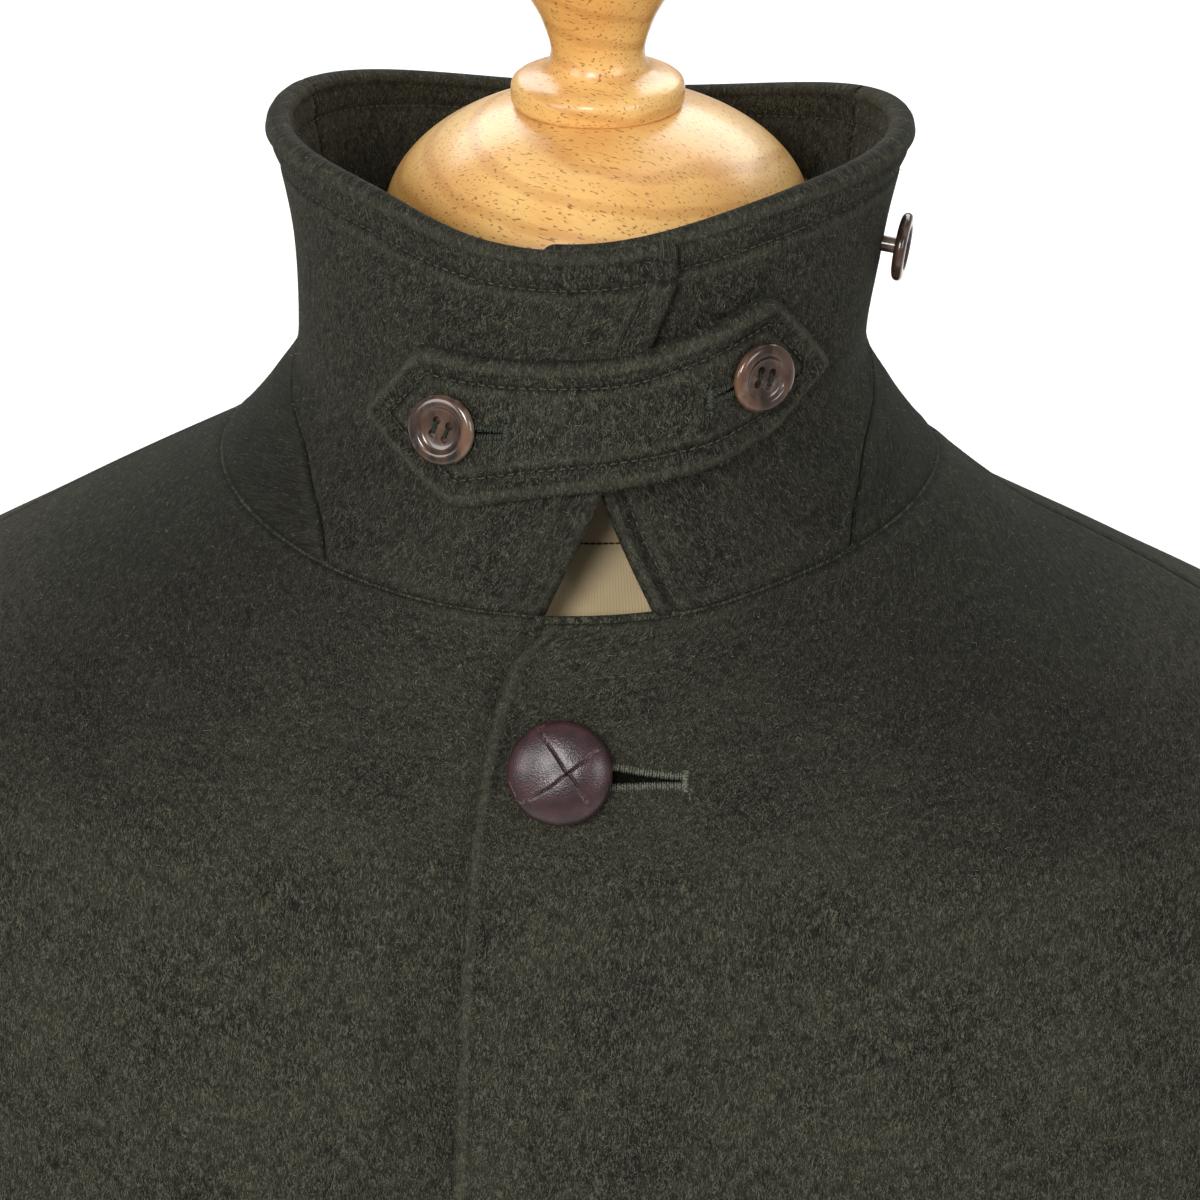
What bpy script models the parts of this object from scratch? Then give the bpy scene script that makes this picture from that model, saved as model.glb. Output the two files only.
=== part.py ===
"""Loden coat, buttoned, on a limbless dress form.

Metres, +Z up. The coat's front faces -Y and the wearer's left is +X. The origin is
the centre of the stand's underside. Angles go round the body: 0 is the centre front,
90 degrees is the wearer's left side and 180 the centre back. The cloth walls are
lofts between rings, one table row a ring, in millimetres from the neck level.
"""

import math
from collections import namedtuple

import bmesh
import bpy
import numpy as np

MM = 0.001

# Driving sizes of the whole object
NECK_LEVEL = 1.460            # height of the coat's neck seam above the floor
BODY_WALL = 0.003             # loden of the fronts, back and sleeves
COLLAR_WALL = 0.0045          # collar and tab are two layers, sewn and turned
SEAM_GAP = 0.0003             # space left between two pieces that meet
REST_GAP = 0.0004             # space between the cloth and what carries it

# Front closing
LAP_RISE = BODY_WALL + 2 * REST_GAP   # the overlapping front lies on the other one
LAP_FLAT = 27.0               # mm past the centre over which the lap lies flat
LAP_FADE = 36.0               # mm over which it comes back to the body's line
BUTTON_PITCH = 0.146
BUTTON_TOP = -42.0            # mm below the neck level
BUTTON_LINE = 1.5             # mm to the wearer's left of the centre
FOOTBALL_BUTTONS = 4
FOOTBALL_RADIUS = 0.014
FOOTBALL_DOME = 0.0058
FOOTBALL_DOME_ROWS = 6
FOOTBALL_SEAT = 0.0006        # the cloth hollows a little under the lower buttons
BUTTON_EDGE = 3.2             # mm from the shank's foot to the dome's widest line

# Horn buttons
HORN_THICKNESS = 0.0032
HORN_HOLE_RADIUS = 0.0009
HORN_HOLE_PITCH = 0.0030
HORN_HOLE_DEPTH = 0.0026
SHANK_RADIUS = 2.2            # mm

# Collar closing
COLLAR_RISE = COLLAR_WALL + REST_GAP
OVERLAP_START = 58.0          # mm to the wearer's right where the overlap starts to rise
OVERLAP_FADE = 40.0
OVERLAP_END = 31.0            # mm to the wearer's left where the overlap ends
TAB_FADE = 20.0               # mm over which the tab comes down past it
NECK_HEIGHT = -6.0            # mm, height of the neck seam at the centre front
CROSSING_HEIGHT = 30.0        # mm above the neck seam where the collar's ends cross

# Stand
BASE_HEIGHT = 0.045
POLE_RADIUS = 0.017

Ring = namedtuple(
    "Ring", "name height half_width front back drop_front drop_back squareness shift lean")

# Coat body from the neck seam to the hem. height is that of the side line; the
# centre front and the centre back lie drop_front and drop_back below it, and the
# wearer's left side lies lean below the right one.
BODY_RINGS = (
    Ring("neck seam", 4.8, 101.5, 100, 70, 10.5, 8.8, 2.00, -5, 0),
    Ring("collar bone", -10, 130, 105, 84, 9, 7, 2.05, -4, 8),
    Ring("yoke", -30, 167, 112, 98, 6, 5, 2.10, -3, 6.5),
    Ring("shoulder", -52, 207, 119, 109, 3, 2, 2.20, -1, 6),
    Ring("shoulder point", -70, 230, 124, 114, 0, 0, 2.30, 0, 5),
    Ring("armhole top", -96, 237, 131, 118, 0, 0, 2.40, 0, 3),
    Ring("upper chest", -150, 232, 142, 124, 0, 0, 2.40, 0, 0),
    Ring("chest", -210, 223, 151, 128, 0, 0, 2.35, 0, 0),
    Ring("underarm", -270, 215, 153, 128, 0, 0, 2.30, 0, 0),
    Ring("waist", -430, 212, 152, 128, 0, 0, 2.20, 0, 0),
    Ring("hip", -600, 226, 160, 144, 0, 0, 2.10, 0, 0),
    Ring("thigh", -800, 250, 174, 164, 0, 0, 2.05, 0, 0),
    Ring("hem", -1050, 280, 193, 188, 0, 0, 2.00, 0, 0),
)

# Turned-up collar from the neck seam to its rim
COLLAR_RINGS = (
    Ring("neck seam", 4.8, 101.5, 100, 70, 10.5, 8.8, 2.00, -5, 0),
    Ring("flare", 21.5, 87.5, 96, 70, 9, 9, 2.00, -4.5, 0),
    Ring("pinch", 38, 79, 91, 71, 5, 8, 2.00, -4.3, 0),
    Ring("middle", 69, 81.3, 84.5, 76, 7, 11, 2.00, -2.6, 0),
    Ring("rim", 102, 88.3, 78, 82, 11, 19, 2.00, -2.2, 0),
)

# The rim stands higher halfway from the centre front to each side.
RIM_RISE = 4.2                # mm
RIM_RISE_START = 45.0         # mm above the neck level
RIM_RISE_FULL = 98.0

# Covered form. Its shoulders carry the coat; below them it stays clear of the cloth.
FORM_RINGS = (
    Ring("cap seat", 70, 57, 57, 57, 0, 0, 2.00, 0, 0),
    Ring("neck", 26, 57, 59, 57, 0, 0, 2.00, 0, 0),
    Ring("neck base", 8, 62, 65, 58, 2, 2, 2.00, 0, 0),
    Ring("neck root", -5, 84, 78, 66, 6, 4, 2.00, 0, 0),
    Ring("collar bone", -21.0, 126, 91, 74, 4, 3, 2.05, -2, 0),
    Ring("yoke", -40.3, 164, 98, 87, 3, 3, 2.10, -2, 0),
    Ring("shoulder", -59.6, 199, 105, 98, 1, 1, 2.20, 0, 0),
    Ring("shoulder end", -78, 208, 110, 102, 0, 0, 2.30, 0, 0),
    Ring("arm plate", -104, 208, 115, 106, 0, 0, 2.40, 0, 0),
    Ring("upper chest", -150, 198, 124, 110, 0, 0, 2.40, 0, 0),
    Ring("chest", -210, 182, 130, 112, 0, 0, 2.30, 0, 0),
    Ring("ribs", -290, 168, 126, 108, 0, 0, 2.20, 0, 0),
    Ring("waist", -430, 156, 110, 98, 0, 0, 2.10, 0, 0),
    Ring("hip", -590, 178, 120, 114, 0, 0, 2.05, 0, 0),
    Ring("seat", -650, 176, 118, 112, 0, 0, 2.05, 0, 0),
    Ring("foot edge", -664, 166, 108, 102, 0, 0, 2.05, 0, 0),
)

# Edges of the fronts and of the collar's ends: x at each height, to the wearer's left
EdgeRow = namedtuple("EdgeRow", "name height x")
LEFT_FRONT_EDGE = (
    EdgeRow("corner", 5, -4.0),
    EdgeRow("neckline", -6, -4.4),
    EdgeRow("rounding", -15, -12),
    EdgeRow("rounded", -32, -17.4),
    EdgeRow("upper edge", -60, -21.4),
    EdgeRow("chest", -155, -24.4),
    EdgeRow("hem", -1060, -24.4),
)
RIGHT_FRONT_EDGE = (
    EdgeRow("corner", 5, 17),
    EdgeRow("rounded", -30, 23),
    EdgeRow("hem", -1060, 24),
)
RIGHT_COLLAR_EDGE = (
    EdgeRow("seam", -8, -5.6),
    EdgeRow("crossing", 27, 9.4),
    EdgeRow("upper", 69, 22.6),
    EdgeRow("corner", 84, 27.4),
    EdgeRow("rim", 95, 27.0),
)
LEFT_COLLAR_EDGE = (
    EdgeRow("seam", -8, 25.4),
    EdgeRow("crossing", 27, 9.4),
    EdgeRow("upper", 69, -4),
    EdgeRow("rim", 95, -9),
)

# Seams between the collar's front and back pieces, as degrees round from the
# collar's own centre at each height. The coat's collar closes a little to the left.
SeamRow = namedtuple("SeamRow", "name height degrees")
COLLAR_CENTRE = 7.0
COLLAR_SEAM = (
    SeamRow("neck", -6, 43),
    SeamRow("low", 7, 48),
    SeamRow("flare", 14, 53.5),
    SeamRow("turn", 22, 61.5),
    SeamRow("below the pinch", 28, 76),
    SeamRow("pinch", 36, 93),
    SeamRow("above the pinch", 60, 106),
    SeamRow("rim", 104, 113),
)

# Throat tab on the collar's surface: where its upper and lower edges lie
TabRow = namedtuple("TabRow", "name top_degrees top_height low_degrees low_height")
TAB_ROWS = (
    TabRow("right point", -34.6, 42.2, -34.2, 41.0),
    TabRow("right corner", -23.7, 64.7, -14.5, 23.6),
    TabRow("right quarter", -9.8, 64.4, -0.8, 29.0),
    TabRow("middle", 8, 65, 13.7, 31.4),
    TabRow("left quarter", 25.7, 71, 27.1, 33.4),
    TabRow("left corner", 40.0, 75.3, 40.3, 35.9),
    TabRow("left point", 54.6, 51.6, 54.6, 50.4),
)

# The shoulder seam lies behind the side line, by these degrees at each height.
SHOULDER_SEAM = (
    SeamRow("neck", 5, 12),
    SeamRow("collar bone", -18, 9),
    SeamRow("yoke", -38, 5),
    SeamRow("shoulder point", -66, 0),
    SeamRow("side", -1060, 0),
)

# Soft flares that the skirt hangs in
FlareRow = namedtuple("FlareRow", "name degrees width depth")
SKIRT_FLARES = (
    FlareRow("left front", 34, 17, 17),
    FlareRow("left side", 71, 14, -12),
    FlareRow("left back", 118, 18, 19),
    FlareRow("near centre back", 158, 15, -11),
    FlareRow("right of back", 201, 17, 15),
    FlareRow("right back", 243, 16, -12),
    FlareRow("right side", 284, 15, 17),
    FlareRow("right front", 325, 16, -13),
)
FLARE_START = -380.0
FLARE_FULL = -1050.0

# Sleeve from the armhole to the cuff: its outer and inner lines in the XZ plane
SleeveRing = namedtuple("SleeveRing", "name outer_x outer_z inner_x inner_z half_depth y")
ARMHOLE_CENTRE_Y = 3.0
ARMHOLE_CENTRE_Z = -168.0
ARMHOLE_HALF_DEPTH = 61.0
ARMHOLE_HALF_HEIGHT = 100.0
SLEEVE_RINGS = (
    SleeveRing("crown", 252, -70, 219, -269, 62.5, 2),
    SleeveRing("crown turn", 277, -84, 223, -276, 65.5, 1),
    SleeveRing("cap", 299, -114, 226.5, -285, 68.5, 0),
    SleeveRing("upper arm", 315, -165, 229, -298, 71.5, -2),
    SleeveRing("biceps", 326, -232, 230.5, -325, 73, -4),
    SleeveRing("above elbow", 334, -310, 231.5, -366, 72, -8),
    SleeveRing("elbow", 339, -392, 232.5, -424, 69, -13),
    SleeveRing("forearm", 342, -490, 236, -505, 65, -24),
    SleeveRing("wrist", 343, -595, 244, -600, 61, -38),
    SleeveRing("cuff", 344, -690, 252, -690, 58, -50),
)
CREASE_SPREAD = 16.0
CreaseRow = namedtuple("CreaseRow", "name height degrees reach depth")
SLEEVE_CREASES = (
    CreaseRow("above the elbow", -300, 110, 70, 5.0),
    CreaseRow("at the elbow", -352, 80, 60, 6.5),
    CreaseRow("below the elbow", -408, 100, 75, 5.0),
)

ProfileRow = namedtuple("ProfileRow", "name radius height")
# Turned beech knob above the cap, top to bottom
FINIAL_PROFILE = (
    ProfileRow("crown", 0, 71),
    ProfileRow("crown side", 12, 68.5),
    ProfileRow("ball top", 20.5, 59.5),
    ProfileRow("ball", 23.5, 47.5),
    ProfileRow("ball foot", 20.8, 34.5),
    ProfileRow("neck top", 15.4, 24),
    ProfileRow("neck", 12.9, 15),
    ProfileRow("neck foot", 15.6, 9.2),
    ProfileRow("bead top", 20.5, 7.2),
    ProfileRow("bead", 23.2, 5.6),
    ProfileRow("disc edge", 23.8, 3.8),
    ProfileRow("disc foot", 23.6, 0.6),
    ProfileRow("disc underside", 23.0, 0),
)
CAP_RADIUS = 59.0
CAP_RISE = 35.0
CAP_LEVEL = 72.0              # mm above the neck level, where the cap is widest
CAP_SEAT_ROWS = 4
CAP_ROWS = 9

BASE_PROFILE = (
    ProfileRow("pole seat", 0, 45),
    ProfileRow("hub", 30, 45),
    ProfileRow("hub foot", 33, 40),
    ProfileRow("cove", 52, 31),
    ProfileRow("top", 150, 24),
    ProfileRow("shoulder", 180, 20),
    ProfileRow("rim", 190, 12),
    ProfileRow("foot", 189, 0),
    ProfileRow("centre", 0, 0),
)

HORN_PROFILE = (
    ProfileRow("dish centre", 0, 2.2),
    ProfileRow("dish floor", 4.3, 2.2),
    ProfileRow("dish wall", 6.0, 2.6),
    ProfileRow("rim inner", 7.0, 3.2),
    ProfileRow("rim", 8.4, 3.2),
    ProfileRow("rim edge", 9.3, 2.6),
    ProfileRow("waist", 9.5, 1.7),
    ProfileRow("back edge", 8.4, 0.3),
    ProfileRow("back", 7.6, 0),
)
FOOTBALL_BACK = (
    ProfileRow("edge", 13.2, 1.6),
    ProfileRow("back", 11.4, 0.9),
    ProfileRow("shank top", 3.5, 0.9),
    ProfileRow("shank foot", 3.5, 0),
    ProfileRow("shank centre", 0, 0),
)

# Grid sizes: columns go round, rows go up and down
FRONT_COLUMNS = 15
BACK_COLUMNS = 26
BODY_ROW_STEPS = (1, 1, 2, 2, 1, 2, 2, 1, 2, 2, 2, 1)
COLLAR_ROW_STEPS = (2, 2, 2, 2)
COLLAR_FRONT_COLUMNS = 14
COLLAR_BACK_COLUMNS = 16
SLEEVE_SIDES = 24
SLEEVE_ROW_STEPS = (1, 1, 1, 1, 2, 4, 3, 1, 1)
TAB_COLUMNS = 24
TAB_ROWS_DOWN = 4
FORM_SIDES = 28
FORM_ROW_STEPS = (2, 2, 2, 1, 1, 1, 2, 1, 1, 1, 1, 2, 2, 1, 1)
TURNED_SIDES = 28
BASE_SIDES = 40
BUTTON_SIDES = 20
HOLE_SIDES = 6


def smooth_column(places, values, where):
    """Value at `where` on a smooth curve through the rows that never overshoots them."""
    places = np.asarray(places, float)
    values = np.asarray(values, float)
    steps = np.diff(places)
    slopes = np.diff(values) / steps
    tangents = np.empty(len(places))
    tangents[0] = slopes[0]
    tangents[-1] = slopes[-1]
    for i in range(1, len(places) - 1):
        before, after = slopes[i - 1], slopes[i]
        if before * after <= 0:
            tangents[i] = 0.0
        else:
            w_before = 2 * steps[i] + steps[i - 1]
            w_after = steps[i] + 2 * steps[i - 1]
            tangents[i] = (w_before + w_after) / (w_before / before + w_after / after)
    where = np.clip(np.asarray(where, float), places[0], places[-1])
    i = np.clip(np.searchsorted(places, where) - 1, 0, len(steps) - 1)
    t = (where - places[i]) / steps[i]
    return (
        values[i] * (2 * t**3 - 3 * t**2 + 1)
        + tangents[i] * steps[i] * (t**3 - 2 * t**2 + t)
        + values[i + 1] * (3 * t**2 - 2 * t**3)
        + tangents[i + 1] * steps[i] * (t**3 - t**2)
    )


def smooth_step(x):
    """0 below 0, 1 above 1 and smooth between."""
    x = np.clip(x, 0.0, 1.0)
    return x * x * (3 - 2 * x)


def edge_value(rows, column, height):
    """A table's column read at a height in millimetres."""
    ordered = sorted(rows, key=lambda row: row.height)
    return smooth_column([r.height for r in ordered], [getattr(r, column) for r in ordered], height)


class RingLoft:
    """A surface through rings. Its second coordinate runs along the side line, in mm."""

    def __init__(self, rings):
        self.rings = rings
        self.places = [0.0]
        for upper, lower in zip(rings, rings[1:]):
            step = math.hypot(lower.height - upper.height, lower.half_width - upper.half_width)
            self.places.append(self.places[-1] + step)

    def column(self, name, place):
        return smooth_column(self.places, [getattr(ring, name) for ring in self.rings], place)

    def places_between(self, steps):
        """Places of the mesh's rows, each interval cut into its number of steps."""
        places = [self.places[0]]
        for start, end, count in zip(self.places, self.places[1:], steps):
            places += [start + (end - start) * (k + 1) / count for k in range(count)]
        return np.array(places)

    def place_at_height(self, height):
        """The place where the side line has a height."""
        dense = np.linspace(0, self.places[-1], 1200)
        heights = self.column("height", dense)
        order = np.argsort(heights)
        return float(np.interp(height, heights[order], dense[order]))

    def points(self, angle, place):
        """Points in mm; angle in radians, arrays of one shape."""
        angle, place = np.broadcast_arrays(np.asarray(angle, float), np.asarray(place, float))
        sine, cosine = np.sin(angle), np.cos(angle)
        power = self.column("squareness", place)
        depth = np.where(cosine > 0, self.column("front", place), self.column("back", place))
        width = self.column("half_width", place)
        radius = (np.abs(sine / width) ** power + np.abs(cosine / depth) ** power) ** (-1 / power)
        drop = np.where(cosine > 0, self.column("drop_front", place), self.column("drop_back", place))
        lean = self.column("lean", place) * np.maximum(sine, 0) ** 2
        height = self.column("height", place) - drop * cosine**2 - lean
        return np.stack([radius * sine + self.column("shift", place), -radius * cosine, height], -1)

    def normals(self, angle, place):
        """Outward unit normals by differences."""
        small_angle, small_place = 2e-3, 0.4
        top = self.places[-1]
        across = self.points(angle + small_angle, place) - self.points(angle - small_angle, place)
        low = np.clip(place + small_place, 0, top)
        high = np.clip(place - small_place, 0, top)
        down = self.points(angle, low) - self.points(angle, high)
        normal = np.cross(down, across)
        normal /= np.linalg.norm(normal, axis=-1, keepdims=True)
        point = self.points(angle, place)
        outward = point[..., 0] * normal[..., 0] + point[..., 1] * normal[..., 1]
        flat = normal[..., 2] > np.abs(outward) / 100
        sign = np.where((outward > 0) | flat, 1.0, -1.0)
        return normal * sign[..., None]

    def place_at(self, angle, height):
        """The place at an angle where the surface has a height."""
        low = np.zeros(np.shape(angle))
        high = np.full(np.shape(angle), self.places[-1])
        for _ in range(40):
            middle = (low + high) / 2
            above = self.points(angle, middle)[..., 2] > height
            rising = self.rings[-1].height > self.rings[0].height
            go_on = above != rising
            low = np.where(go_on, middle, low)
            high = np.where(go_on, high, middle)
        return (low + high) / 2

    def angle_at_x(self, x, place, turns=6):
        """The angle near the centre front at which the surface has an x, in mm."""
        angle = np.zeros(np.shape(place))
        for _ in range(turns):
            here = self.points(angle, place)
            radius = np.hypot(here[..., 0], here[..., 1])
            angle = angle + (x - here[..., 0]) / radius
        return angle


class BodyLoft(RingLoft):
    """The coat's body, which adds the skirt's flares."""

    def points(self, angle, place):
        point = super().points(angle, place)
        height = point[..., 2]
        amount = smooth_step((FLARE_START - height) / (FLARE_START - FLARE_FULL))
        push = np.zeros(height.shape)
        for flare in SKIRT_FLARES:
            away = np.angle(np.exp(1j * (np.asarray(angle) - math.radians(flare.degrees))))
            push = push + flare.depth * np.exp(-((away / math.radians(flare.width)) ** 2))
        outward = np.stack([np.sin(angle) + 0 * height, -np.cos(angle) + 0 * height, 0 * height], -1)
        return point + outward * (amount * push)[..., None]


class CollarLoft(RingLoft):
    """The collar, which adds the rise of its rim."""

    def points(self, angle, place):
        point = super().points(angle, place)
        span = RIM_RISE_FULL - RIM_RISE_START
        amount = RIM_RISE * smooth_step((point[..., 2] - RIM_RISE_START) / span)
        turned = np.asarray(angle) + np.zeros(amount.shape)
        point[..., 2] += np.where(np.cos(turned) > 0, amount * np.sin(2 * turned) ** 2, 0)
        return point


BODY = BodyLoft(BODY_RINGS)
COLLAR = CollarLoft(COLLAR_RINGS)
FORM = RingLoft(FORM_RINGS)


def to_world(points):
    """Millimetres from the neck level to metres from the floor."""
    world = np.array(points, float) * MM
    world[..., 2] += NECK_LEVEL
    return world


def new_object(name, mesh, collection, material):
    item = bpy.data.objects.new(name, mesh)
    collection.objects.link(item)
    mesh.materials.append(material)
    return item


def finish_bmesh(bm, name, smooth_degrees=40):
    bmesh.ops.recalc_face_normals(bm, faces=bm.faces)
    mesh = bpy.data.meshes.new(name)
    bm.to_mesh(mesh)
    bm.free()
    mesh.shade_smooth()
    mesh.set_sharp_from_angle(angle=math.radians(smooth_degrees))
    return mesh


def wall_mesh(name, outer, inner, closed=False):
    """A cloth wall: two skins of rows by columns joined round their edges.

    A closed wall's last column joins its first, as on a sleeve.
    """
    rows, columns = outer.shape[:2]
    bm = bmesh.new()
    skins = []
    for skin in (to_world(outer), to_world(inner)):
        skins.append([[bm.verts.new(skin[i, j]) for j in range(columns)] for i in range(rows)])
    reach = columns if closed else columns - 1
    for i in range(rows - 1):
        for j in range(reach):
            k = (j + 1) % columns
            for skin in skins:
                bm.faces.new((skin[i][j], skin[i][k], skin[i + 1][k], skin[i + 1][j]))
    out, into = skins
    for i in (0, rows - 1):
        for j in range(reach):
            k = (j + 1) % columns
            bm.faces.new((out[i][j], out[i][k], into[i][k], into[i][j]))
    if not closed:
        for j in (0, columns - 1):
            for i in range(rows - 1):
                bm.faces.new((out[i][j], out[i + 1][j], into[i + 1][j], into[i][j]))
    return finish_bmesh(bm, name)


def turned_mesh(name, profile, sides):
    """A solid of revolution about its Z axis, from a profile that runs top to bottom."""
    curve_mesh = bpy.data.meshes.new(name + "_profile")
    points = [(row.radius * MM, 0, row.height * MM) for row in profile]
    curve_mesh.from_pydata(points, [(i, i + 1) for i in range(len(points) - 1)], [])
    holder = bpy.data.objects.new(name + "_profile", curve_mesh)
    bpy.context.scene.collection.objects.link(holder)
    screw = holder.modifiers.new("turn", "SCREW")
    screw.axis = "Z"
    screw.steps = sides
    screw.render_steps = sides
    screw.use_merge_vertices = True
    screw.merge_threshold = 0.00002
    mesh = evaluated_mesh(holder, name)
    bpy.data.objects.remove(holder)
    mesh.shade_smooth()
    mesh.set_sharp_from_angle(angle=math.radians(38))
    return mesh


def evaluated_mesh(item, name):
    graph = bpy.context.evaluated_depsgraph_get()
    mesh = bpy.data.meshes.new_from_object(item.evaluated_get(graph))
    mesh.name = name
    return mesh


def rounded_profile(rows, spacing=5.6):
    """The turned profile with its rows joined by a smooth curve, every `spacing` mm."""
    lengths = [0.0]
    for a, b in zip(rows, rows[1:]):
        lengths.append(lengths[-1] + math.hypot(b.radius - a.radius, b.height - a.height))
    count = max(len(rows), int(lengths[-1] / spacing))
    places = np.linspace(0, lengths[-1], count)
    radii = smooth_column(lengths, [row.radius for row in rows], places)
    heights = smooth_column(lengths, [row.height for row in rows], places)
    return [ProfileRow("turned", r, h) for r, h in zip(radii, heights)]


# ---------------------------------------------------------------- coat pieces


def front_grid(side):
    """Angles and places of a front panel; side is 1 for the wearer's left."""
    places = BODY.places_between(BODY_ROW_STEPS)
    heights = BODY.points(np.zeros(len(places)), places)[:, 2]
    rows = LEFT_FRONT_EDGE if side > 0 else RIGHT_FRONT_EDGE
    edge = BODY.angle_at_x(edge_value(rows, "x", heights), places)
    seam = side_seam(places, side, -SEAM_GAP / MM / 2)
    across = np.linspace(0, 1, FRONT_COLUMNS + 1)
    angles = edge[:, None] + (seam - edge)[:, None] * across[None, :]
    return angles, np.repeat(places[:, None], FRONT_COLUMNS + 1, axis=1)


def side_seam(places, side, gap):
    """Angle of the shoulder and side seam at each row; gap is a step towards the back."""
    heights = BODY.column("height", places)
    back = np.radians(edge_value(SHOULDER_SEAM, "degrees", heights))
    radius = BODY.column("half_width", places)
    return side * (math.pi / 2 + back + gap / radius)


def lap_lift(x):
    """How far the overlapping front stands out, in mm, at an x from the centre."""
    return LAP_RISE / MM * (1 - smooth_step((x - LAP_FLAT) / LAP_FADE))


def outward(angles):
    """Level directions away from the middle at each angle."""
    return np.stack([np.sin(angles), -np.cos(angles), np.zeros(np.shape(angles))], -1)


def panel_skins(loft, angles, places, wall, lift):
    """Outer and inner skins of a wall, lift mm outside the loft's surface."""
    outer = loft.points(angles, places) + outward(angles) * lift[..., None]
    return outer, outer - loft.normals(angles, places) * (wall / MM)


def build_fronts(collection, cloth):
    for name, side in (("front_left", 1), ("front_right", -1)):
        angles, places = front_grid(side)
        x = BODY.points(angles, places)[..., 0]
        lift = lap_lift(x) if side > 0 else np.zeros(x.shape)
        skins = panel_skins(BODY, angles, places, BODY_WALL, lift)
        mesh = wall_mesh(name, *skins)
        item = new_object(name, mesh, collection, cloth)
        cut_armhole(item, side)


def build_back(collection, cloth):
    places = BODY.places_between(BODY_ROW_STEPS)
    start = side_seam(places, 1, SEAM_GAP / MM / 2)
    end = 2 * math.pi + side_seam(places, -1, SEAM_GAP / MM / 2)
    across = np.linspace(0, 1, BACK_COLUMNS + 1)
    angles = start[:, None] + (end - start)[:, None] * across[None, :]
    grid = np.repeat(places[:, None], BACK_COLUMNS + 1, axis=1)
    skins = panel_skins(BODY, angles, grid, BODY_WALL, np.zeros(angles.shape))
    item = new_object("back", wall_mesh("back", *skins), collection, cloth)
    cut_armhole(item, 1)
    cut_armhole(item, -1)


def armhole_ring(shrink=0.0):
    """Y and Z of the armhole's outline, in mm, starting at its top."""
    turn = np.linspace(0, 2 * math.pi, SLEEVE_SIDES, endpoint=False)
    y = ARMHOLE_CENTRE_Y + (ARMHOLE_HALF_DEPTH - shrink) * np.sin(turn)
    z = ARMHOLE_CENTRE_Z + (ARMHOLE_HALF_HEIGHT - shrink) * np.cos(turn)
    return y, z


def cut_armhole(item, side):
    """Cuts the armhole out of a panel with a prism along X."""
    y, z = armhole_ring()
    near, far = 150.0 * side, 290.0 * side
    bm = bmesh.new()
    ends = []
    for x in (near, far):
        ring = to_world(np.stack([np.full(len(y), x), y, z], -1))
        ends.append([bm.verts.new(p) for p in ring])
    bm.faces.new(ends[0])
    bm.faces.new(ends[1])
    for i in range(len(y)):
        k = (i + 1) % len(y)
        bm.faces.new((ends[0][i], ends[0][k], ends[1][k], ends[1][i]))
    mesh = finish_bmesh(bm, "armhole_cutter")
    cutter = bpy.data.objects.new("armhole_cutter", mesh)
    bpy.context.scene.collection.objects.link(cutter)
    cut = item.modifiers.new("armhole", "BOOLEAN")
    cut.operation = "DIFFERENCE"
    cut.solver = "EXACT"
    cut.object = cutter
    mesh = evaluated_mesh(item, item.name)
    item.modifiers.clear()
    item.data = mesh
    bpy.data.objects.remove(cutter)
    mesh.shade_smooth()
    mesh.set_sharp_from_angle(angle=math.radians(40))


def body_side_x(y, z):
    """Half-width of the body's surface at a y and a height, in mm."""
    place = np.array([BODY.place_at_height(h) for h in z])
    power = BODY.column("squareness", place)
    depth = np.where(y < 0, BODY.column("front", place), BODY.column("back", place))
    width = BODY.column("half_width", place)
    return width * (1 - np.abs(y / depth) ** power) ** (1 / power)


def sleeve_rings():
    """Outer points of the left sleeve's rings, in mm, armhole first."""
    turn = np.linspace(0, 2 * math.pi, SLEEVE_SIDES, endpoint=False)
    y, z = armhole_ring(shrink=0.45)
    side_x = body_side_x(y, z)
    rings = [
        np.stack([side_x - BODY_WALL / MM, y, z], -1),
        np.stack([side_x + 2.5, y, z], -1),
    ]
    lengths = [0.0]
    for a, b in zip(SLEEVE_RINGS, SLEEVE_RINGS[1:]):
        lengths.append(lengths[-1] + math.hypot(b.outer_x - a.outer_x, b.outer_z - a.outer_z) / 2
                       + math.hypot(b.inner_x - a.inner_x, b.inner_z - a.inner_z) / 2)
    places = [0.0]
    for start, end, count in zip(lengths, lengths[1:], SLEEVE_ROW_STEPS):
        places += [start + (end - start) * (k + 1) / count for k in range(count)]

    def column(name, place):
        return smooth_column(lengths, [getattr(ring, name) for ring in SLEEVE_RINGS], place)

    for place in places:
        outer = np.array([column("outer_x", place), 0, column("outer_z", place)])
        inner = np.array([column("inner_x", place), 0, column("inner_z", place)])
        centre = (outer + inner) / 2
        ring = centre + np.cos(turn)[:, None] * (outer - centre)
        ring[:, 1] = column("y", place) + column("half_depth", place) * np.sin(turn)
        rings.append(ring - crease_push(ring, centre, turn))
    return np.array(rings)


def crease_push(ring, centre, turn):
    """Inward moves of the sleeve's creases, in mm."""
    radial = ring - np.array([centre[0], ring[:, 1].mean(), centre[2]])
    radial /= np.linalg.norm(radial, axis=1)[:, None]
    depth = np.zeros(len(turn))
    for crease in SLEEVE_CREASES:
        away = np.angle(np.exp(1j * (turn - math.radians(-crease.degrees))))
        along = (ring[:, 2] - crease.height) / CREASE_SPREAD
        across = away / math.radians(crease.reach)
        depth += crease.depth * np.exp(-along**2) * np.exp(-across**2)
    return radial * depth[:, None]


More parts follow.
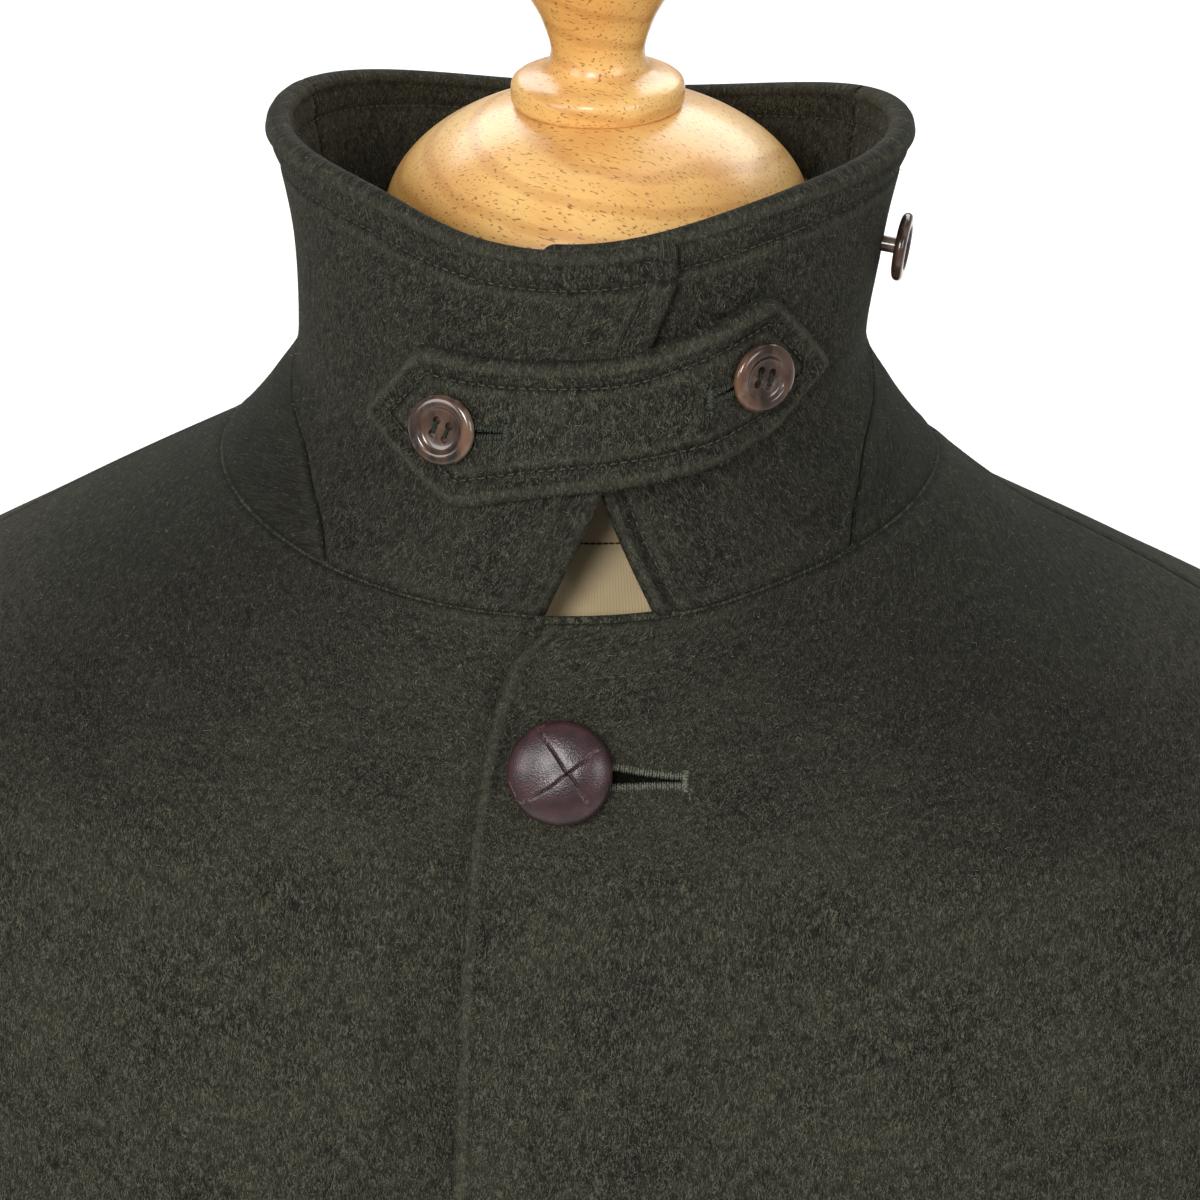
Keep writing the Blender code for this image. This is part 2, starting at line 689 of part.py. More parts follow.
def ring_inset(rings, wall):
    """The rings moved in by a wall's thickness, across each ring's own plane."""
    inset = np.empty(rings.shape)
    for i, ring in enumerate(rings):
        centre = ring.mean(axis=0)
        along = np.roll(ring, -1, axis=0) - np.roll(ring, 1, axis=0)
        flat = np.linalg.svd(ring - centre)[2][2]
        inward = np.cross(along, flat)
        inward /= np.linalg.norm(inward, axis=1)[:, None]
        towards = np.sum(inward * (centre - ring), axis=1)
        inset[i] = ring + inward * np.sign(towards)[:, None] * wall
    return inset


def build_sleeves(collection, cloth):
    left = sleeve_rings()
    for name, side in (("sleeve_left", 1), ("sleeve_right", -1)):
        rings = left * np.array([side, 1, 1])
        inner = ring_inset(rings, BODY_WALL / MM)
        new_object(name, wall_mesh(name, rings, inner, closed=True), collection, cloth)


def overlap_lift(x):
    """How far the collar's upper end stands out over the lower one, in mm."""
    return COLLAR_RISE / MM * smooth_step((x + OVERLAP_START) / OVERLAP_FADE)


def collar_lift(x, height, side):
    """Lift of a collar front: it follows its own front panel at the neck seam."""
    above_seam = smooth_step((height - NECK_HEIGHT) / CROSSING_HEIGHT)
    if side > 0:
        return lap_lift(x) * (1 - above_seam)
    return overlap_lift(x) * above_seam


def seam_angles(places, side, gap):
    """Angle of the seam between a collar's front and back piece at each row."""
    angle = np.full(len(places), math.radians(70))
    for _ in range(8):
        height = COLLAR.points(side * angle, places)[:, 2]
        turn = side * COLLAR_CENTRE + edge_value(COLLAR_SEAM, "degrees", height)
        angle = np.radians(turn)
    radius = np.hypot(*COLLAR.points(side * angle, places)[:, :2].T)
    return side * (angle + gap / radius)


def collar_places():
    places = COLLAR.places_between(COLLAR_ROW_STEPS)
    places[0] += SEAM_GAP / MM
    return places


def build_collar(collection, cloth):
    places = collar_places()
    half_gap = SEAM_GAP / MM / 2
    for name, side, edge in (
        ("collar_front_left", 1, LEFT_COLLAR_EDGE),
        ("collar_front_right", -1, RIGHT_COLLAR_EDGE),
    ):
        start = np.zeros(len(places))
        for _ in range(6):
            height = COLLAR.points(start, places)[:, 2]
            start = COLLAR.angle_at_x(edge_value(edge, "x", height), places)
        end = seam_angles(places, side, -half_gap)
        across = np.linspace(0, 1, COLLAR_FRONT_COLUMNS + 1)
        angles = start[:, None] + (end - start)[:, None] * across[None, :]
        grid = np.repeat(places[:, None], COLLAR_FRONT_COLUMNS + 1, axis=1)
        points = COLLAR.points(angles, grid)
        lift = collar_lift(points[..., 0], points[..., 2], side)
        skins = panel_skins(COLLAR, angles, grid, COLLAR_WALL, lift)
        new_object(name, wall_mesh(name, *skins), collection, cloth)
    start = seam_angles(places, 1, half_gap)
    end = 2 * math.pi + seam_angles(places, -1, half_gap)
    across = np.linspace(0, 1, COLLAR_BACK_COLUMNS + 1)
    angles = start[:, None] + (end - start)[:, None] * across[None, :]
    grid = np.repeat(places[:, None], COLLAR_BACK_COLUMNS + 1, axis=1)
    skins = panel_skins(COLLAR, angles, grid, COLLAR_WALL, np.zeros(grid.shape))
    new_object("collar_back", wall_mesh("collar_back", *skins), collection, cloth)


def tab_lift(x):
    """How far the tab's outside lies from the collar's surface, in mm."""
    over = overlap_lift(x) * (1 - smooth_step((x - OVERLAP_END) / TAB_FADE))
    return over + (COLLAR_WALL + REST_GAP) / MM


def tab_grid():
    """Angles and places of the throat tab's mesh, rows from its top edge down."""
    stops = np.arange(len(TAB_ROWS))
    fine = np.linspace(0, len(TAB_ROWS) - 1, TAB_COLUMNS + 1)

    def edge(column):
        values = [getattr(row, column) for row in TAB_ROWS]
        between_corners = smooth_column(stops[1:-1], values[1:-1], fine)
        pointed_end = (fine < 1) | (fine > len(TAB_ROWS) - 2)
        return np.where(pointed_end, np.interp(fine, stops, values), between_corners)

    top = np.radians(edge("top_degrees")), edge("top_height")
    low = np.radians(edge("low_degrees")), edge("low_height")
    down = np.linspace(0, 1, TAB_ROWS_DOWN + 1)[:, None]
    angles = top[0][None, :] * (1 - down) + low[0][None, :] * down
    heights = top[1][None, :] * (1 - down) + low[1][None, :] * down
    return angles, COLLAR.place_at(angles, heights)


def tab_skins():
    """Skins of the throat tab, which lies on both ends of the collar."""
    angles, places = tab_grid()
    lift = tab_lift(COLLAR.points(angles, places)[..., 0])
    return panel_skins(COLLAR, angles, places, COLLAR_WALL, lift)


def build_tab(collection, cloth):
    new_object("throat_tab", wall_mesh("throat_tab", *tab_skins()), collection, cloth)


# -------------------------------------------------------------------- buttons


def seat_button(item, point, normal, gap):
    """Places a button, made about Z, with its foot just off a point in mm."""
    axis = normal / np.linalg.norm(normal)
    place = to_world(point) + axis * gap
    across = np.cross([0, 0, 1], axis)
    across /= np.linalg.norm(across)
    up = np.cross(axis, across)
    for vertex in item.data.vertices:
        x, y, z = vertex.co
        vertex.co = place + across * x + up * y + axis * z


def football_profile():
    """Dome over a shallow edge and a shank, in mm above the shank's foot."""
    radius, rise = FOOTBALL_RADIUS / MM, FOOTBALL_DOME / MM
    turns = np.linspace(math.pi / 2, 0, FOOTBALL_DOME_ROWS + 1)
    dome = [ProfileRow("dome", radius * math.cos(t), BUTTON_EDGE + rise * math.sin(t)) for t in turns]
    dome[0] = ProfileRow("crown", 0, BUTTON_EDGE + rise)
    return dome + list(FOOTBALL_BACK)


def build_football_buttons(collection, leather):
    for k in range(FOOTBALL_BUTTONS):
        name = f"football_button_{k + 1}"
        angle = np.array(0.0)
        for _ in range(4):
            place = BODY.place_at(angle, BUTTON_TOP - k * BUTTON_PITCH / MM)
            angle = BODY.angle_at_x(BUTTON_LINE, place)
        point = BODY.points(angle, place) + outward(angle) * lap_lift(BUTTON_LINE)
        item = new_object(name, turned_mesh(name, football_profile(), BUTTON_SIDES), collection, leather)
        seat_button(item, point, BODY.normals(angle, place), FOOTBALL_SEAT)


# Horn buttons on the collar's surface; seat is the space under the shank, in mm
HornRow = namedtuple("HornRow", "name degrees height shank seat on_tab")
HORN_BUTTONS = (
    HornRow("horn_button_right", -16.4, 44.4, 0.9, 0.4, True),
    HornRow("horn_button_left", 35.5, 54.9, 0.9, 0.8, True),
    HornRow("horn_button_side", 84, 69.5, 4.2, 0.4, False),
)


def build_horn_buttons(collection, horn):
    for row in HORN_BUTTONS:
        angle = np.array(math.radians(row.degrees))
        place = COLLAR.place_at(angle, row.height)
        point = COLLAR.points(angle, place)
        if row.on_tab:
            point = point + outward(angle) * tab_lift(point[0])
        shank = [ProfileRow("shank top", SHANK_RADIUS, 0), ProfileRow("shank foot", SHANK_RADIUS, -row.shank),
                 ProfileRow("shank centre", 0, -row.shank)]
        raised = [ProfileRow(r.name, r.radius, r.height + row.shank) for r in list(HORN_PROFILE) + shank]
        item = new_object(row.name, turned_mesh(row.name, raised, BUTTON_SIDES), collection, horn)
        drill_button(item, row.shank)
        seat_button(item, point, COLLAR.normals(angle, place), row.seat * MM)


def drill_button(item, shank):
    """Sinks the four sewing holes into a horn button that lies about Z."""
    top = shank * MM + HORN_THICKNESS
    for k in range(4):
        turn = math.pi / 4 + k * math.pi / 2
        reach = HORN_HOLE_PITCH / math.sqrt(2)
        place = (reach * math.cos(turn), reach * math.sin(turn), top)
        bpy.ops.mesh.primitive_cylinder_add(
            vertices=HOLE_SIDES, radius=HORN_HOLE_RADIUS, depth=2 * HORN_HOLE_DEPTH, location=place)
        cutter = bpy.context.object
        cut = item.modifiers.new("hole", "BOOLEAN")
        cut.operation = "DIFFERENCE"
        cut.solver = "EXACT"
        cut.object = cutter
        mesh = evaluated_mesh(item, item.name)
        item.modifiers.clear()
        item.data = mesh
        bpy.data.objects.remove(cutter)
    item.data.shade_smooth()
    item.data.set_sharp_from_angle(angle=math.radians(38))


# ------------------------------------------------------------------ the form


def build_form_torso(collection, cover):
    places = FORM.places_between(FORM_ROW_STEPS)
    angles = np.linspace(0, 2 * math.pi, FORM_SIDES, endpoint=False)
    grid_angles, grid_places = np.meshgrid(angles, places)
    points = to_world(FORM.points(grid_angles, grid_places))
    bm = bmesh.new()
    rings = [[bm.verts.new(p) for p in ring] for ring in points]
    for upper, lower in zip(rings, rings[1:]):
        for j in range(FORM_SIDES):
            k = (j + 1) % FORM_SIDES
            bm.faces.new((upper[j], upper[k], lower[k], lower[j]))
    bm.faces.new(rings[0])
    bm.faces.new(rings[-1])
    mesh = finish_bmesh(bm, "form_torso", smooth_degrees=50)
    new_object("form_torso", mesh, collection, cover)


def cap_height(radius):
    """Height of the domed cap above the neck level, in mm, at a radius."""
    return CAP_LEVEL + CAP_RISE * math.sqrt(1 - (radius / CAP_RADIUS) ** 2)


def build_form_cap(collection, beech):
    turns = np.linspace(math.pi / 2, 0, CAP_ROWS + 1)[1:]
    profile = [ProfileRow("crown", 0, cap_height(0))]
    profile += [ProfileRow("dome", CAP_RADIUS * math.cos(t), cap_height(CAP_RADIUS * math.cos(t)))
                for t in turns]
    foot = FORM_RINGS[0].height + SEAM_GAP / MM
    profile.append(ProfileRow("foot", FORM_RINGS[0].half_width + 0.5, foot))
    profile.append(ProfileRow("foot centre", 0, foot))
    item = new_object("form_cap", turned_mesh("form_cap", profile, TURNED_SIDES), collection, beech)
    lift_object(item, 0)


def lift_object(item, height):
    """Moves an object's points up to a height in mm from the neck level."""
    for vertex in item.data.vertices:
        vertex.co.z += NECK_LEVEL + height * MM


def build_finial(collection, beech):
    """The knob's underside is hollowed to sit on the cap."""
    edge = FINIAL_PROFILE[-1].radius
    seat = cap_height(edge) + REST_GAP / MM
    profile = rounded_profile(FINIAL_PROFILE[:-1]) + [FINIAL_PROFILE[-1]]
    for radius in np.linspace(edge, 0, CAP_SEAT_ROWS + 1)[1:]:
        profile.append(ProfileRow("hollow", radius, cap_height(radius) - cap_height(edge)))
    item = new_object("form_finial", turned_mesh("form_finial", profile, TURNED_SIDES), collection, beech)
    lift_object(item, seat)


def build_stand(collection, beech):
    bpy.ops.mesh.primitive_cylinder_add(vertices=28, radius=POLE_RADIUS, depth=1)
    pole = bpy.context.object
    low = BASE_HEIGHT + SEAM_GAP
    high = NECK_LEVEL + FORM_RINGS[-1].height * MM - SEAM_GAP
    for vertex in pole.data.vertices:
        vertex.co.z = high if vertex.co.z > 0 else low
    pole.name = "form_pole"
    for holder in list(pole.users_collection):
        holder.objects.unlink(pole)
    collection.objects.link(pole)
    pole.data.materials.append(beech)
    pole.data.shade_smooth()
    pole.data.set_sharp_from_angle(angle=math.radians(38))
    base = turned_mesh("form_base", BASE_PROFILE, BASE_SIDES)
    new_object("form_base", base, collection, beech)


# ----------------------------------------------------------------- materials


def make_material(name, color, roughness, metallic=0.0):
    material = bpy.data.materials.new(name)
    material.use_nodes = True
    shader = material.node_tree.nodes["Principled BSDF"]
    shader.inputs["Base Color"].default_value = (*color, 1)
    shader.inputs["Roughness"].default_value = roughness
    shader.inputs["Metallic"].default_value = metallic
    material.diffuse_color = (*color, 1)
    return material


def clear_scene():
    for item in list(bpy.data.objects):
        bpy.data.objects.remove(item)


def main():
    clear_scene()
    coat = bpy.data.collections.new("loden_coat")
    bpy.context.scene.collection.children.link(coat)
    cloth = make_material("loden", (0.030, 0.033, 0.022), 0.95)
    leather = make_material("button_leather", (0.055, 0.025, 0.028), 0.35)
    horn = make_material("horn", (0.16, 0.10, 0.07), 0.3)
    cover = make_material("form_cover", (0.60, 0.52, 0.41), 0.85)
    beech = make_material("beech", (0.68, 0.38, 0.13), 0.25)
    build_fronts(coat, cloth)
    build_back(coat, cloth)
    build_sleeves(coat, cloth)
    build_collar(coat, cloth)
    build_tab(coat, cloth)
    build_football_buttons(coat, leather)
    build_horn_buttons(coat, horn)
    build_form_torso(coat, cover)
    build_form_cap(coat, beech)
    build_finial(coat, beech)
    build_stand(coat, beech)


if __name__ == "__main__":
    main()
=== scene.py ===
"""Studio picture of a loden coat on a limbless dress form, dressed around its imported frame.

Tables are in millimetres from the coat's neck level, which stands NECK_LEVEL above the
floor. The coat's front faces -Y and the wearer's left is +X. Angles go round the body
from the centre front, and 90 degrees is the wearer's left side.
"""

import logging
import math
from dataclasses import dataclass, field
from enum import Enum
from typing import Callable, NamedTuple, Optional, Sequence

import bmesh
import bpy
import numpy as np
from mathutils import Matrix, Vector


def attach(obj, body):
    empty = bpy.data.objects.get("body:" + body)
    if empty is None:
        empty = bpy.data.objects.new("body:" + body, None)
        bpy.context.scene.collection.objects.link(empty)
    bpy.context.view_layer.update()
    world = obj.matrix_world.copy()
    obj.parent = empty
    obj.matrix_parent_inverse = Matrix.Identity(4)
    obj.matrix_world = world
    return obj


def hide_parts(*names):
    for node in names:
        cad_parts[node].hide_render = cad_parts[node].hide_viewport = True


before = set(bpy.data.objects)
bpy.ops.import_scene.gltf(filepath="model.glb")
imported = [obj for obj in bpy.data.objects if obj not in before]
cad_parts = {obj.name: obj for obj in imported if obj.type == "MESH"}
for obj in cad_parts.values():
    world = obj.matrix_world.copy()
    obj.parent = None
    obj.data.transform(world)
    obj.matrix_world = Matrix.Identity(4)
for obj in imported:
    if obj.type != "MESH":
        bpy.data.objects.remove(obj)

LOG = logging.getLogger("loden_coat")
MM = 0.001
NECK_LEVEL = 1.460            # metres from the floor to the neck level
BODY_WALL = 3.0               # mm of cloth in the fronts, the back and the sleeves
COLLAR_WALL = 4.5             # mm, the collar and the tab are doubled
REST_GAP = 0.4                # mm between two layers that lie on each other
SEED = 11
STITCH_REACH = 0.95           # mm to each side that a stitch draws the cloth in
INNER_PAINTED_LIGHT = 0.4              # how much of its painted light a sheet shows on its inner face

Array = np.ndarray
Material = bpy.types.Material
Mesh = bpy.types.Mesh
Piece = bpy.types.Object
Socket = bpy.types.NodeSocket
Tree = bpy.types.NodeTree
Color = tuple[float, float, float, float]


class Ring(NamedTuple):
    """One ring of a loft; its centre front and back lie below its sides by the drops."""

    height: float
    half_width: float
    front: float
    back: float
    drop_front: float
    drop_back: float
    squareness: float
    shift: float
    lean: float


class EdgeRow(NamedTuple):
    """Where an edge or a seam lies at a height: x in mm or an angle in degrees."""

    height: float
    value: float


def table(kind: type, rows: Sequence[tuple]) -> tuple:
    """Rows of numbers as rows of a kind, whose fields name them."""
    return tuple(kind(*row) for row in rows)


def smooth_column(places: Sequence[float], values: Sequence[float], where: Array) -> Array:
    """Reads a smooth curve through table rows that never overshoots them.

    Args:
        places: rising places of the rows.
        values: the rows' values.
        where: places to read.

    Returns:
        The values there.
    """
    at = np.asarray(places, float)
    value = np.asarray(values, float)
    steps = np.diff(at)
    slopes = np.diff(value) / steps
    tangents = np.empty(len(at))
    tangents[0] = slopes[0]
    tangents[-1] = slopes[-1]
    for i in range(1, len(at) - 1):
        before, after = slopes[i - 1], slopes[i]
        if before * after <= 0:
            tangents[i] = 0.0
        else:
            w_before = 2 * steps[i] + steps[i - 1]
            w_after = steps[i] + 2 * steps[i - 1]
            tangents[i] = (w_before + w_after) / (w_before / before + w_after / after)
    where = np.clip(np.asarray(where, float), at[0], at[-1])
    i = np.clip(np.searchsorted(at, where) - 1, 0, len(steps) - 1)
    t = (where - at[i]) / steps[i]
    return (
        value[i] * (2 * t**3 - 3 * t**2 + 1)
        + tangents[i] * steps[i] * (t**3 - 2 * t**2 + t)
        + value[i + 1] * (3 * t**2 - 2 * t**3)
        + tangents[i + 1] * steps[i] * (t**3 - t**2)
    )


def smooth_step(x: Array) -> Array:
    """0 below 0, 1 above 1 and smooth between."""
    x = np.clip(x, 0.0, 1.0)
    return x * x * (3 - 2 * x)


def bell(x: Array, width: float) -> Array:
    """A soft bump of height 1 about 0."""
    return np.exp(-((x / width) ** 2))


def edge_value(rows: Sequence[EdgeRow], height: Array) -> Array:
    """Reads an edge's table at heights in millimetres."""
    ordered = sorted(rows)
    return smooth_column([r.height for r in ordered], [r.value for r in ordered], height)


def outward(angles: Array) -> Array:
    """Level directions away from the middle at each angle."""
    return np.stack([np.sin(angles), -np.cos(angles), np.zeros(np.shape(angles))], -1)


def to_world(points: Array) -> Array:
    """Millimetres from the neck level to metres from the floor."""
    world = np.array(points, float) * MM
    world[..., 2] += NECK_LEVEL
    return world


def along_line(points: Array) -> Array:
    """Distances along a line of points, from its first one."""
    return np.concatenate([[0], np.linalg.norm(np.diff(points, axis=0), axis=1).cumsum()])


class RingLoft:
    """A surface through rings. Its second coordinate runs along the side line, in mm."""

    def __init__(self, rings: Sequence[Ring]) -> None:
        """Measures the places of the rings along the side line.

        Args:
            rings: the rings from one end to the other.
        """
        self.rings = list(rings)
        self.places = along_line(np.array([(ring.height, ring.half_width) for ring in rings], float))

    def column(self, name: str, place: Array) -> Array:
        """One of the rings' columns at places."""
        return smooth_column(self.places, [getattr(ring, name) for ring in self.rings], place)

    def points(self, angle: Array, place: Array) -> Array:
        """The surface's points.

        Args:
            angle: angles round the body, in radians.
            place: places along the side line, in mm.

        Returns:
            Points in mm, one more axis than the arguments.
        """
        angle, place = np.broadcast_arrays(np.asarray(angle, float), np.asarray(place, float))
        sine, cosine = np.sin(angle), np.cos(angle)
        power = self.column("squareness", place)
        depth = np.where(cosine > 0, self.column("front", place), self.column("back", place))
        width = self.column("half_width", place)
        radius = (np.abs(sine / width) ** power + np.abs(cosine / depth) ** power) ** (-1 / power)
        drop = np.where(cosine > 0, self.column("drop_front", place), self.column("drop_back", place))
        lean = self.column("lean", place) * np.maximum(sine, 0) ** 2
        height = self.column("height", place) - drop * cosine**2 - lean
        return np.stack([radius * sine + self.column("shift", place), -radius * cosine, height], -1)

    def normals(self, angle: Array, place: Array) -> Array:
        """Outward unit normals of the surface, found by differences."""
        top = self.places[-1]
        across = self.points(angle + 2e-3, place) - self.points(angle - 2e-3, place)
        below, above = (self.points(angle, np.clip(place + step, 0, top)) for step in (0.4, -0.4))
        normal = np.cross(below - above, across)
        normal /= np.linalg.norm(normal, axis=-1, keepdims=True)
        point = self.points(angle, place)
        away = point[..., 0] * normal[..., 0] + point[..., 1] * normal[..., 1]
        flat = normal[..., 2] > np.abs(away) / 100
        return normal * np.where((away > 0) | flat, 1.0, -1.0)[..., None]

    def place_at(self, angle: Array, height: Array) -> Array:
        """The places at angles where the surface has certain heights."""
        low = np.zeros(np.shape(angle))
        high = np.full(np.shape(angle), self.places[-1])
        rising = self.rings[-1].height > self.rings[0].height
        for _ in range(34):
            middle = (low + high) / 2
            go_on = (self.points(angle, middle)[..., 2] > height) != rising
            low = np.where(go_on, middle, low)
            high = np.where(go_on, high, middle)
        return (low + high) / 2

    def angle_at_x(self, x: Array, place: Array) -> Array:
        """The angles near the centre front at which the surface has an x, in mm."""
        angle = np.zeros(np.shape(place))
        for _ in range(6):
            here = self.points(angle, place)
            angle = angle + (x - here[..., 0]) / np.hypot(here[..., 0], here[..., 1])
        return angle


# ------------------------------------------------------------------ the coat's surfaces

BODY_RINGS = table(Ring, (
    (4.8, 101.5, 100, 70, 10.5, 8.8, 2.00, -5, 0), (-10, 130, 105, 84, 9, 7, 2.05, -4, 8),
    (-30, 167, 112, 98, 6, 5, 2.10, -3, 6.5), (-52, 207, 119, 109, 3, 2, 2.20, -1, 6),
    (-70, 230, 124, 114, 0, 0, 2.30, 0, 5), (-96, 237, 131, 118, 0, 0, 2.40, 0, 3),
    (-150, 232, 142, 124, 0, 0, 2.40, 0, 0), (-210, 223, 151, 128, 0, 0, 2.35, 0, 0),
    (-270, 215, 153, 128, 0, 0, 2.30, 0, 0), (-430, 212, 152, 128, 0, 0, 2.20, 0, 0),
    (-600, 226, 160, 144, 0, 0, 2.10, 0, 0), (-800, 250, 174, 164, 0, 0, 2.05, 0, 0),
    (-1050, 280, 193, 188, 0, 0, 2.00, 0, 0),
))
COLLAR_RINGS = table(Ring, (
    (4.8, 101.5, 100, 70, 10.5, 8.8, 2.00, -5, 0), (21.5, 87.5, 96, 70, 9, 9, 2.00, -4.5, 0),
    (38, 79, 91, 71, 5, 8, 2.00, -4.3, 0), (69, 81.3, 84.5, 76, 7, 11, 2.00, -2.6, 0),
    (102, 88.3, 78, 82, 11, 19, 2.00, -2.2, 0),
))
FORM_RINGS = table(Ring, (
    (70, 57, 57, 57, 0, 0, 2.00, 0, 0), (26, 57, 59, 57, 0, 0, 2.00, 0, 0),
    (8, 62, 65, 58, 2, 2, 2.00, 0, 0), (-5, 84, 78, 66, 6, 4, 2.00, 0, 0),
    (-21.0, 126, 91, 74, 4, 3, 2.05, -2, 0), (-40.3, 164, 98, 87, 3, 3, 2.10, -2, 0),
    (-59.6, 199, 105, 98, 1, 1, 2.20, 0, 0), (-78, 208, 110, 102, 0, 0, 2.30, 0, 0),
    (-104, 208, 115, 106, 0, 0, 2.40, 0, 0), (-150, 198, 124, 110, 0, 0, 2.40, 0, 0),
    (-210, 182, 130, 112, 0, 0, 2.30, 0, 0), (-290, 168, 126, 108, 0, 0, 2.20, 0, 0),
    (-430, 156, 110, 98, 0, 0, 2.10, 0, 0), (-590, 178, 120, 114, 0, 0, 2.05, 0, 0),
    (-650, 176, 118, 112, 0, 0, 2.05, 0, 0), (-664, 166, 108, 102, 0, 0, 2.05, 0, 0),
))
LEFT_FRONT_EDGE = table(EdgeRow, (
    (5, -4.0), (-6, -4.4), (-15, -12), (-32, -17.4), (-60, -21.4), (-155, -24.4), (-1060, -24.4),
))
RIGHT_FRONT_EDGE = table(EdgeRow, (
    (5, 17), (-30, 23), (-1060, 24),
))
RIGHT_COLLAR_EDGE = table(EdgeRow, (
    (-8, -5.6), (27, 9.4), (69, 22.6), (84, 27.4), (95, 27.0),
))
LEFT_COLLAR_EDGE = table(EdgeRow, (
    (-8, 25.4), (27, 9.4), (69, -4), (95, -9),
))
COLLAR_CENTRE = 7.0           # degrees; the collar closes a little to the wearer's left
COLLAR_SEAM = table(EdgeRow, (
    (-6, 43), (7, 48), (14, 53.5), (22, 61.5), (28, 76), (36, 93), (60, 106), (104, 113),
))
SHOULDER_SEAM = table(EdgeRow, (
    (5, 12), (-18, 9), (-38, 5), (-66, 0), (-1060, 0),
))


class Flare(NamedTuple):
    """One soft flare of the skirt."""

    degrees: float
    width: float
    depth: float


SKIRT_FLARES = table(Flare, (
    (34, 17, 17), (71, 14, -12), (118, 18, 19), (158, 15, -11), (201, 17, 15), (243, 16, -12),
    (284, 15, 17), (325, 16, -13),
))
FLARE_START, FLARE_FULL = -380.0, -1050.0
RIM_RISE, RIM_RISE_START, RIM_RISE_FULL = 4.2, 45.0, 98.0


class BodyLoft(RingLoft):
    """The coat's body, which adds the skirt's flares."""

    def points(self, angle: Array, place: Array) -> Array:
        """The loft's points, pushed in and out by the flares below the waist."""
        point = super().points(angle, place)
        height = point[..., 2]
        amount = smooth_step((FLARE_START - height) / (FLARE_START - FLARE_FULL))
        push = np.zeros(height.shape)
        for flare in SKIRT_FLARES:
            away = np.angle(np.exp(1j * (np.asarray(angle) - math.radians(flare.degrees))))
            push = push + flare.depth * np.exp(-((away / math.radians(flare.width)) ** 2))
        return point + outward(np.asarray(angle) + 0 * height) * (amount * push)[..., None]


class CollarLoft(RingLoft):
    """The collar, which adds the rise of its rim."""

    def points(self, angle: Array, place: Array) -> Array:
        """The loft's points, raised halfway from the centre front to each side."""
        point = super().points(angle, place)
        amount = RIM_RISE * smooth_step((point[..., 2] - RIM_RISE_START) / (RIM_RISE_FULL - RIM_RISE_START))
        turned = np.asarray(angle) + np.zeros(amount.shape)
        point[..., 2] += np.where(np.cos(turned) > 0, amount * np.sin(2 * turned) ** 2, 0)
        return point


BODY = BodyLoft(BODY_RINGS)
COLLAR = CollarLoft(COLLAR_RINGS)
FORM = RingLoft(FORM_RINGS)


# where each lap starts to lift or sink, in mm of x, and over how many mm it does so
LAP_SINKS, LAP_SINKS_OVER = 27.0, 36.0
OVERLAP_LIFTS, OVERLAP_LIFTS_OVER = -58.0, 40.0
TAB_SINKS, TAB_SINKS_OVER = 31.0, 20.0


def unlifted(base: Array) -> Array:
    """No lift, at points in mm."""
    return 0 * base[..., 0]


def lap_lift(x: Array) -> Array:
    """How far the overlapping front stands out, in mm, at an x from the centre."""
    return (BODY_WALL + 2 * REST_GAP) * (1 - smooth_step((x - LAP_SINKS) / LAP_SINKS_OVER))


def overlap_lift(x: Array) -> Array:
    """How far the collar's upper end stands out over the lower one, in mm."""
    return (COLLAR_WALL + REST_GAP) * smooth_step((x - OVERLAP_LIFTS) / OVERLAP_LIFTS_OVER)


def tab_lift(x: Array) -> Array:
    """How far the throat tab's outside lies from the collar's surface, in mm."""
    sunk = smooth_step((x - TAB_SINKS) / TAB_SINKS_OVER)
    return overlap_lift(x) * (1 - sunk) + COLLAR_WALL + REST_GAP


class Side(Enum):
    """A side of the wearer; the value is the sign of its X."""

    LEFT = 1
    RIGHT = -1


class Fold(NamedTuple):
    """A soft fold or hollow of the cloth along a line between two places of the body.

    The ends are degrees round the body and mm of height; depth is positive outwards.
    """

    degrees_a: float
    height_a: float
    degrees_b: float
    height_b: float
    width: float
    depth: float


# first the fronts' folds, as the photograph shows them, then the back's and the sides'
BODY_FOLDS = table(Fold, (
    (-34, -24, -58, -100, 17, 1.5), (-22, -66, -40, -190, 22, -1.3), (36, -22, 60, -96, 18, 1.4),
    (24, -70, 43, -200, 24, -1.2), (-12, -150, -16, -420, 26, 1.6), (16, -170, 20, -430, 30, 1.5),
    (-14.6, -16, -17.0, -470, 8.0, -6.0), (-52, -140, -47, -330, 24, 2.2),
    (56, -130, 50, -350, 26, 2.4), (-70, -235, -44, -262, 13, -2.2), (70, -232, 42, -270, 14, -2.4),
    (-66, -262, -30, -330, 17, 1.8), (67, -262, 32, -340, 18, 1.7), (-28, -460, -36, -700, 30, 1.8),
    (30, -470, 40, -720, 32, -1.6), (150, -60, 138, -230, 24, 1.7), (208, -64, 222, -240, 26, 1.9),
    (178, -40, 182, -300, 30, -1.4), (112, -236, 142, -280, 15, -2.3),
    (248, -236, 218, -276, 15, -2.1), (115, -262, 160, -350, 20, 2.0), (243, -264, 204, -356, 20, 1.8),
    (164, -420, 156, -700, 32, 1.9), (198, -430, 206, -690, 30, -1.7), (90, -330, 94, -560, 24, 1.8),
    (-90, -340, -95, -570, 24, 1.9),
))
ARC_PER_DEGREE = 2.9          # mm of cloth for a degree round the body
MM_PER_DEGREE = 1.45          # mm of cloth for a degree round the collar's ends


